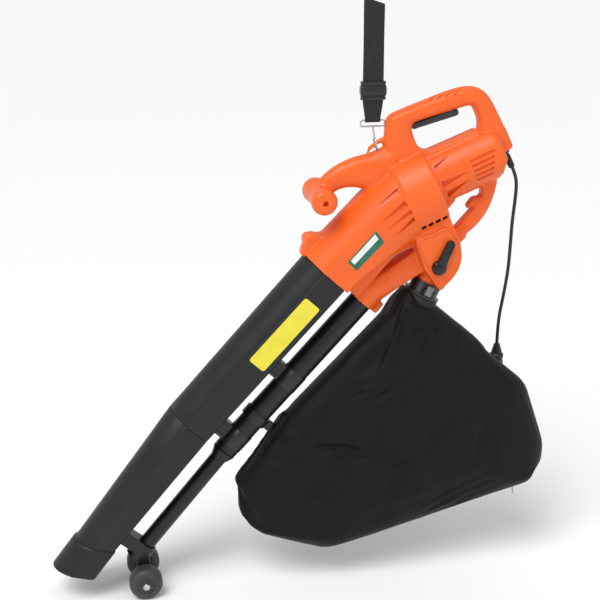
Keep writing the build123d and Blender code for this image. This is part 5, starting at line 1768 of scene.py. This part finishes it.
@dataclass
class Strap:
    """Carrying strap: folded webbing, three-bar slider and wire hook."""

    x: float = -110.83
    low: float = -21.81
    long: float = 190.0
    half_low: float = 12.5
    half: float = 16.5
    gap: float = 2.8
    thick: float = 1.5
    gather: float = 34.0
    fold_from: float = 0.7
    fold_slope: float = 0.3
    sway: float = 0.5
    ripple: Flat = (0.05, 1.3)
    hem: float = 0.55
    slider_low: float = 12.2
    # Sections of the slider: height, half width and half depth.
    sections: tuple[tuple[float, float, float], ...] = (
        (0.0, 20.2, 5.2), (0.8, 20.8, 5.8), (3.6, 20.8, 5.8), (4.4, 20.2, 5.2), (6.2, 20.2, 5.1),
        (6.6, 20.9, 6.0), (9.0, 21.4, 7.4), (13.0, 21.6, 8.0), (17.0, 21.6, 8.0), (21.0, 21.4, 7.4),
        (23.4, 20.9, 6.0), (23.8, 20.2, 5.1), (25.6, 20.2, 5.2), (26.4, 20.8, 5.8), (29.2, 20.8, 5.8),
        (30.0, 20.2, 5.2), (30.0, 17.3, 4.5), (0.0, 17.3, 4.5),
    )

    def build(self) -> None:
        """Makes the webbing and the adjuster; the wire hook keeps its CAD shape."""
        self.webbing()
        self.slider()

    def slider(self) -> None:
        """Sleeve-like adjuster with a bulging middle bar between two thin ones."""
        loops = []
        for rise, wide, deep in self.sections:
            ring = rounded([(-wide, -deep), (wide, -deep), (wide, deep), (-wide, deep)], 3.0)
            loops.append([Vector((self.x + x, y, self.slider_low + rise)) * MM for x, y in ring])
        obj = smooth(loft("strap_adjuster", loops, Ends.RING), 40)
        mount(obj, Body.STRAP_SLIDER, CLIP_NYLON, "dark_plastic", "strap_slider")

    def webbing(self) -> None:
        """Band folded round the hook's bar, gathered there, with a slanted fold on top."""
        rows = 30
        path = arc((0.0, 0.0), self.gap, 1.0, 2.0, 8)
        path += [(self.gap, self.long * step / rows) for step in range(1, rows)]
        path += arc((0.0, self.long), self.gap, 0.0, 1.0, 8)
        path += [(-self.gap, self.long * step / rows) for step in range(rows - 1, 0, -1)]
        loops = []
        count = len(path)
        for i, (y, z) in enumerate(path):
            before, after = Vector(path[i - 1]), Vector(path[(i + 1) % count])
            way = (after - before).normalized()
            normal = Vector((way.y, -way.x))
            share = min(max(z / self.gather, 0.0), 1.0)
            half = self.half_low + (self.half - self.half_low) * share * share * (3 - 2 * share)
            lean = max(z / self.long - self.fold_from, 0.0) / (1 - self.fold_from)
            loop = []
            for side in (1, -1):
                for step in range(9):
                    across = side * (1 - step / 4)
                    edge = self.thick / 2 * (self.hem if step in (0, 8) else 1.0)
                    sway = self.sway * math.sin(z * self.ripple[0] + across * self.ripple[1]) * share
                    spot = Vector((y + sway, z)) + normal * edge * side
                    drop = -across * half * self.fold_slope * lean * lean
                    loop.append(Vector((self.x + across * half, spot.x, self.low + spot.y + drop)) * MM)
            loops.append(loop)
        obj = smooth(loft("strap_band", loops, Ends.RING), 50)
        mount(obj, Body.STRAP, WEBBING, "webbing", "strap_webbing")


@dataclass
class Bag:
    """Collecting bag of thin cloth with its adapter, hook, zip and neck band."""

    studio: Studio
    # Hard pieces: name, CAD node, radius of the edges in millimetres, body, finish and slot.
    clasps: tuple[Hard, ...] = (
        ("bag_collar", "bag_adapter", 0.7, Body.TOOL, CLIP_NYLON, "dark_plastic"),
        ("bag_latch_plate", "bag_latch", 0.6, Body.BAG_LATCH, LATCH_POM, "dark_plastic"),
    )
    zip: tuple[Hard, ...] = (
        ("zip_tape", "bag_zip", 0.5, Body.TOOL, ZIP_TAPE, "zip_tape"),
        ("zip_runner_body", "zip_slider", 0.5, Body.ZIP_RUNNER, ZINC_STEEL, "steel"),
        ("zip_pull_tab", "zip_pull", 0.4, Body.ZIP_PULL, ZINC_STEEL, "steel"),
    )
    neck_band: tuple[Flat, ...] = (
        (34.4, 29.4), (35.0, 31.0), (37.0, 31.8), (41.0, 31.9), (45.0, 31.8), (47.0, 31.2), (47.6, 29.6),
        (41.0, 28.6),
    )
    neck_start: float = 34.1
    voxel: float = 5.0
    cap_mm: float = 7.0
    frames: int = 20
    # Where the cloth is held: along the neck, round the hook and on the zip's seam.
    neck_held: float = 22.0
    neck_fade: float = 25.0
    neck_grip: float = 0.6
    hook: tuple[float, float, float] = (-285.0, 0.0, -535.0)
    hook_reach: float = 22.0
    seam_low: float = -660.0
    seam_half: float = 7.0
    seam_grip: float = 0.8
    # Section of a fold, in shares of its breadth: reach, and height, place and breadth of its crest.
    fold_reach: float = 3.0
    crest: tuple[float, float, float] = (0.5, 1.3, 0.6)
    groove: Flat = (0.45, 1.3)
    fold_skin: float = 6.0
    # Folds by their ends in the photograph, their depth and their breadth in millimetres.
    folds: tuple[tuple[Flat, Flat, float, float], ...] = (
        ((408.0, 300.0), (441.8, 356.9), 9.0, 12.0),
        ((440.0, 358.0), (346.0, 436.0), 7.0, 13.0),
        ((352.0, 397.0), (392.0, 386.0), 8.0, 10.0),
        ((366.0, 431.0), (418.0, 492.0), 9.0, 12.0),
        ((262.0, 449.0), (367.0, 460.0), 11.0, 15.0),
        ((520.0, 367.0), (486.0, 419.0), 8.0, 11.0),
        ((455.0, 349.0), (483.0, 399.0), 6.0, 10.0),
        ((303.0, 502.0), (364.0, 466.0), 8.0, 13.0),
        ((424.0, 512.0), (494.0, 478.0), 6.0, 12.0),
        ((282.0, 417.0), (334.0, 446.0), 6.0, 11.0),
    )

    def build(self) -> None:
        """Makes the cloth body and dresses the hard pieces on it."""
        self.cloth()
        self.dress(self.clasps)
        hook = melted("bag_hanger", "bag_hook", 0.8, 6)
        mount(hook, Body.TOOL, CLIP_NYLON, "dark_plastic", "bag_hook")
        self.band()
        self.dress(self.zip)

    def dress(self, pieces: Sequence[Hard]) -> None:
        """Rounds the edges of hard pieces and mounts them.

        Args:
            pieces: The rows of the pieces.
        """
        for name, node, edge, body, finish, slot in pieces:
            mount(softened(name, node, edge), body, finish, slot, node)

    def cloth(self) -> None:
        """Remeshes the folded form, lets it swell and wrinkle, and keeps it near its place."""
        obj = merged_copy("bag_body", "bag")
        modify(obj, "REMESH", mode="VOXEL", voxel_size=self.voxel * MM)
        modify(obj, "SMOOTH", factor=0.5, iterations=4)
        self.relax(obj)
        self.crease(obj)
        modify(obj, "SUBSURF", levels=1, render_levels=1)
        smooth(obj, 180)
        mount(obj, Body.TOOL, BAG_CLOTH, "bag_fabric", "bag")

    def relax(self, obj: Obj) -> None:
        """Runs the cloth for a moment under light air pressure and its own weight.

        Args:
            obj: The remeshed bag.
        """
        rest = [vert.co.copy() for vert in obj.data.vertices]
        held = obj.vertex_groups.new(name="held")
        neck, way, hook = SPIGOT.at(self.neck_start), SPIGOT.way(1), Vector(self.hook) * MM
        for index, place in enumerate(rest):
            along = (place - neck).dot(way) / MM - self.neck_held
            weight = 1.0 if along < 0 else max(0.0, 1.0 - along / self.neck_fade) * self.neck_grip
            if (place - hook).length < self.hook_reach * MM:
                weight = 1.0
            if place.z < self.seam_low * MM and abs(place.y) < self.seam_half * MM:
                weight = max(weight, self.seam_grip)
            if weight > 0:
                held.add([index], weight, "REPLACE")
        pick(obj)
        made = obj.modifiers.new("cloth", "CLOTH")
        settings = made.settings
        settings.quality = 6
        settings.mass = 0.15
        settings.tension_stiffness = settings.compression_stiffness = 12
        settings.shear_stiffness = 4
        settings.bending_stiffness = 0.25
        settings.use_pressure = True
        settings.uniform_pressure_force = 2.2
        settings.shrink_min = -0.07
        settings.vertex_group_mass = "held"
        settings.effector_weights.gravity = 0.25
        made.collision_settings.use_collision = False
        made.point_cache.frame_start, made.point_cache.frame_end = 1, self.frames
        scene = bpy.context.scene
        for number in range(1, self.frames + 1):
            scene.frame_set(number)
        bpy.ops.object.modifier_apply(modifier=made.name)
        scene.frame_set(1)
        limit = self.cap_mm * MM
        for vert, place in zip(obj.data.vertices, rest):
            move = vert.co - place
            if move.length > limit:
                vert.co = place + move * (limit / move.length)
        obj.vertex_groups.clear()

    def crease(self, obj: Obj) -> None:
        """Presses sharp folds with soft crests beside them into both sides of the cloth.

        Args:
            obj: The relaxed bag.
        """
        lines = []
        for start, end, deep, wide in self.folds:
            ends = [obj.ray_cast(self.studio.eye(), self.studio.sight(*pixel)) for pixel in (start, end)]
            if all(found for found, _, _, _ in ends):
                lines.append((ends[0][1], ends[1][1] - ends[0][1], deep, wide * MM))
        high, out, broad = self.crest
        narrow, bend = self.groove
        for vert in obj.data.vertices:
            spot = Vector((vert.co.x, -abs(vert.co.y), vert.co.z))
            push = 0.0
            for start, run, deep, wide in lines:
                share = min(max((spot - start).dot(run) / run.length_squared, 0.0), 1.0)
                gap = (spot - start - run * share).length / wide
                if gap < self.fold_reach:
                    fade = math.sin(math.pi * (0.06 + 0.88 * share))
                    crest = high * math.exp(-(((gap - out) / broad) ** 2))
                    push += deep * fade * (math.exp(-((gap / narrow) ** bend)) - crest)
            room = max(abs(vert.co.y) - self.fold_skin * MM, 0.0)
            vert.co.y -= math.copysign(min(push * MM, room), vert.co.y)

    def band(self) -> None:
        """Elastic neck band where the cloth is gathered on the flange."""
        band = turned("bag_neck_band", SPIGOT.at(0), SPIGOT.way(1), self.neck_band, 56, Ends.RING)
        mount(smooth(band, 40), Body.TOOL, WEBBING, "webbing")


@dataclass
class Labels:
    """Bare self-adhesive labels: yellow on the tube, green and white on the duct."""

    studio: Studio
    tube: SuctionTube
    start: float = 50.4
    end: float = 193.4
    low: float = -32.4
    high: float = 0.6
    corner: float = 5.0
    film: float = 0.3
    air: float = 0.05
    stand: float = 12.0
    plate: tuple[Flat, Flat, Flat, Flat] = ((347.9, 262.1), (376.2, 230.8), (384.2, 242.4), (356.7, 270.9))
    panel: tuple[Flat, Flat] = ((0.07, 0.1), (0.93, 0.52))

    def build(self, skin: Obj) -> None:
        """Sticks the labels on.

        Args:
            skin: The housing's skin.
        """
        self.sticker()
        spots = [self.studio.hit(skin, pixel)[0] for pixel in self.plate]
        self.patch("duct_label", skin, spots, 0.35, GREEN_VINYL)
        (left, top), (right, low) = self.panel
        inner = [self.between(spots, u, v) for u, v in ((left, top), (right, top), (right, low), (left, low))]
        self.patch("duct_label_field", skin, inner, 0.6, WHITE_VINYL)

    def sticker(self) -> None:
        """Yellow label on the flared side of the suction tube."""
        start, end, low, high = self.start, self.end, self.low, self.high
        corners = [(start, low), (end, low), (end, high), (start, high)]
        base = []
        for along, up in rounded(corners, self.corner):
            lean = self.tube.flare * max(-up, 0.0) / self.tube.deep
            base.append(TUBE.at(along, up, -self.tube.half_at(along) - lean - self.air))
        obj = smooth(prism("tube_label", base, -ACROSS * self.film * MM), 30)
        mount(obj, Body.TOOL, YELLOW_VINYL, "zip_tape")

    def between(self, corners: Sequence[Vector], u: float, v: float) -> Vector:
        """Point at shares along and across a four-cornered field."""
        a, b, c, d = corners
        return a.lerp(b, u).lerp(d.lerp(c, u), v)

    def patch(self, name: str, skin: Obj, corners: Sequence[Vector], lift: float, finish: Finish) -> None:
        """Sticks a thin patch on the housing's left side.

        Args:
            name: Name of the piece.
            skin: The housing's skin.
            corners: Its four corners near the skin in metres.
            lift: How far its face stands off the skin in millimetres.
            finish: Its surface.
        """
        free()
        bpy.ops.mesh.primitive_grid_add(x_subdivisions=40, y_subdivisions=16, size=1.0)
        obj = bpy.context.object
        obj.name = obj.data.name = name
        for vert in obj.data.vertices:
            vert.co = self.between(corners, vert.co.x + 0.5, vert.co.y + 0.5) - ACROSS * self.stand * MM
        plane = {"use_project_x": False, "use_project_y": True, "use_project_z": False}
        ways = {"use_negative_direction": True, "use_positive_direction": True}
        modify(obj, "SHRINKWRAP", target=skin, wrap_method="PROJECT", offset=lift * MM, **plane, **ways)
        modify(obj, "SOLIDIFY", thickness=(lift - self.air) * MM, offset=0.0)
        smooth(outward(obj), 40)
        mount(obj, Body.TOOL, finish, "zip_tape")


@dataclass
class Inside:
    """Trigger, and the screws, motor and other pieces that keep their CAD shape."""

    blade: tuple[Flat, ...] = (
        (60.2, 98.5), (62.5, 94.6), (72, 93.6), (100, 90), (128, 86.4), (138, 85.6), (141.5, 88.5),
        (141.8, 95), (139, 98), (100, 100.2), (66, 103), (61, 101.5),
    )
    blade_half: float = 8.4
    blade_edge: float = 2.2
    finishes: tuple[tuple[Finish, str], ...] = (
        (ZINC_STEEL, "housing_screws impeller_nut strap_hook"),
        (BRIGHT_STEEL, "motor_shaft front_bearing rear_bearing axle axle_caps"),
        (BLACK_STEEL, "trigger_pin"),
        (CORE_STEEL, "armature_core stator_core"),
        (COPPER, "armature_windings commutator field_windings"),
        (NICKEL_BRASS, "plug_pins"),
        (CLIP_NYLON, "impeller rear_bracket diverter_flap"),
        (TRIGGER_NYLON, "switch_block cooling_fan cable_clamp"),
        (BRUSH_RESIN, "brush_holders"),
        (LEAD_PVC, "lead_inner"),
    )

    def build(self) -> None:
        """Dresses the CAD nodes that stay in view and makes the trigger."""
        blade = slab("trigger_blade", MOTOR, flowing(self.blade, 3), self.blade_half, self.blade_edge)
        smooth(blade, 40)
        mount(blade, Body.TRIGGER, TRIGGER_NYLON, "dark_plastic", "trigger")
        for finish, names in self.finishes:
            for name in names.split():
                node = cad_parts[name]
                node.data.materials.clear()
                node.data.materials.append(finish.material())
                LOG.info("%s keeps its CAD shape", name)


def main() -> None:
    """Builds every sub-assembly in order."""
    logging.basicConfig(level=logging.INFO, format="%(name)s: %(message)s")
    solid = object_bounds()
    studio = Studio()
    studio.build(solid[0].z)
    Lead().build()
    tube = SuctionTube()
    housing = Housing(studio)
    skin = housing.build()
    Labels(studio, tube).build(skin)
    bpy.data.objects.remove(skin)
    for part in (tube, BlowerTube(), RunningGear(), Selector(housing.lobe), Strap(), Bag(studio), Inside()):
        part.build()
    free()


if __name__ == "__main__":
    main()
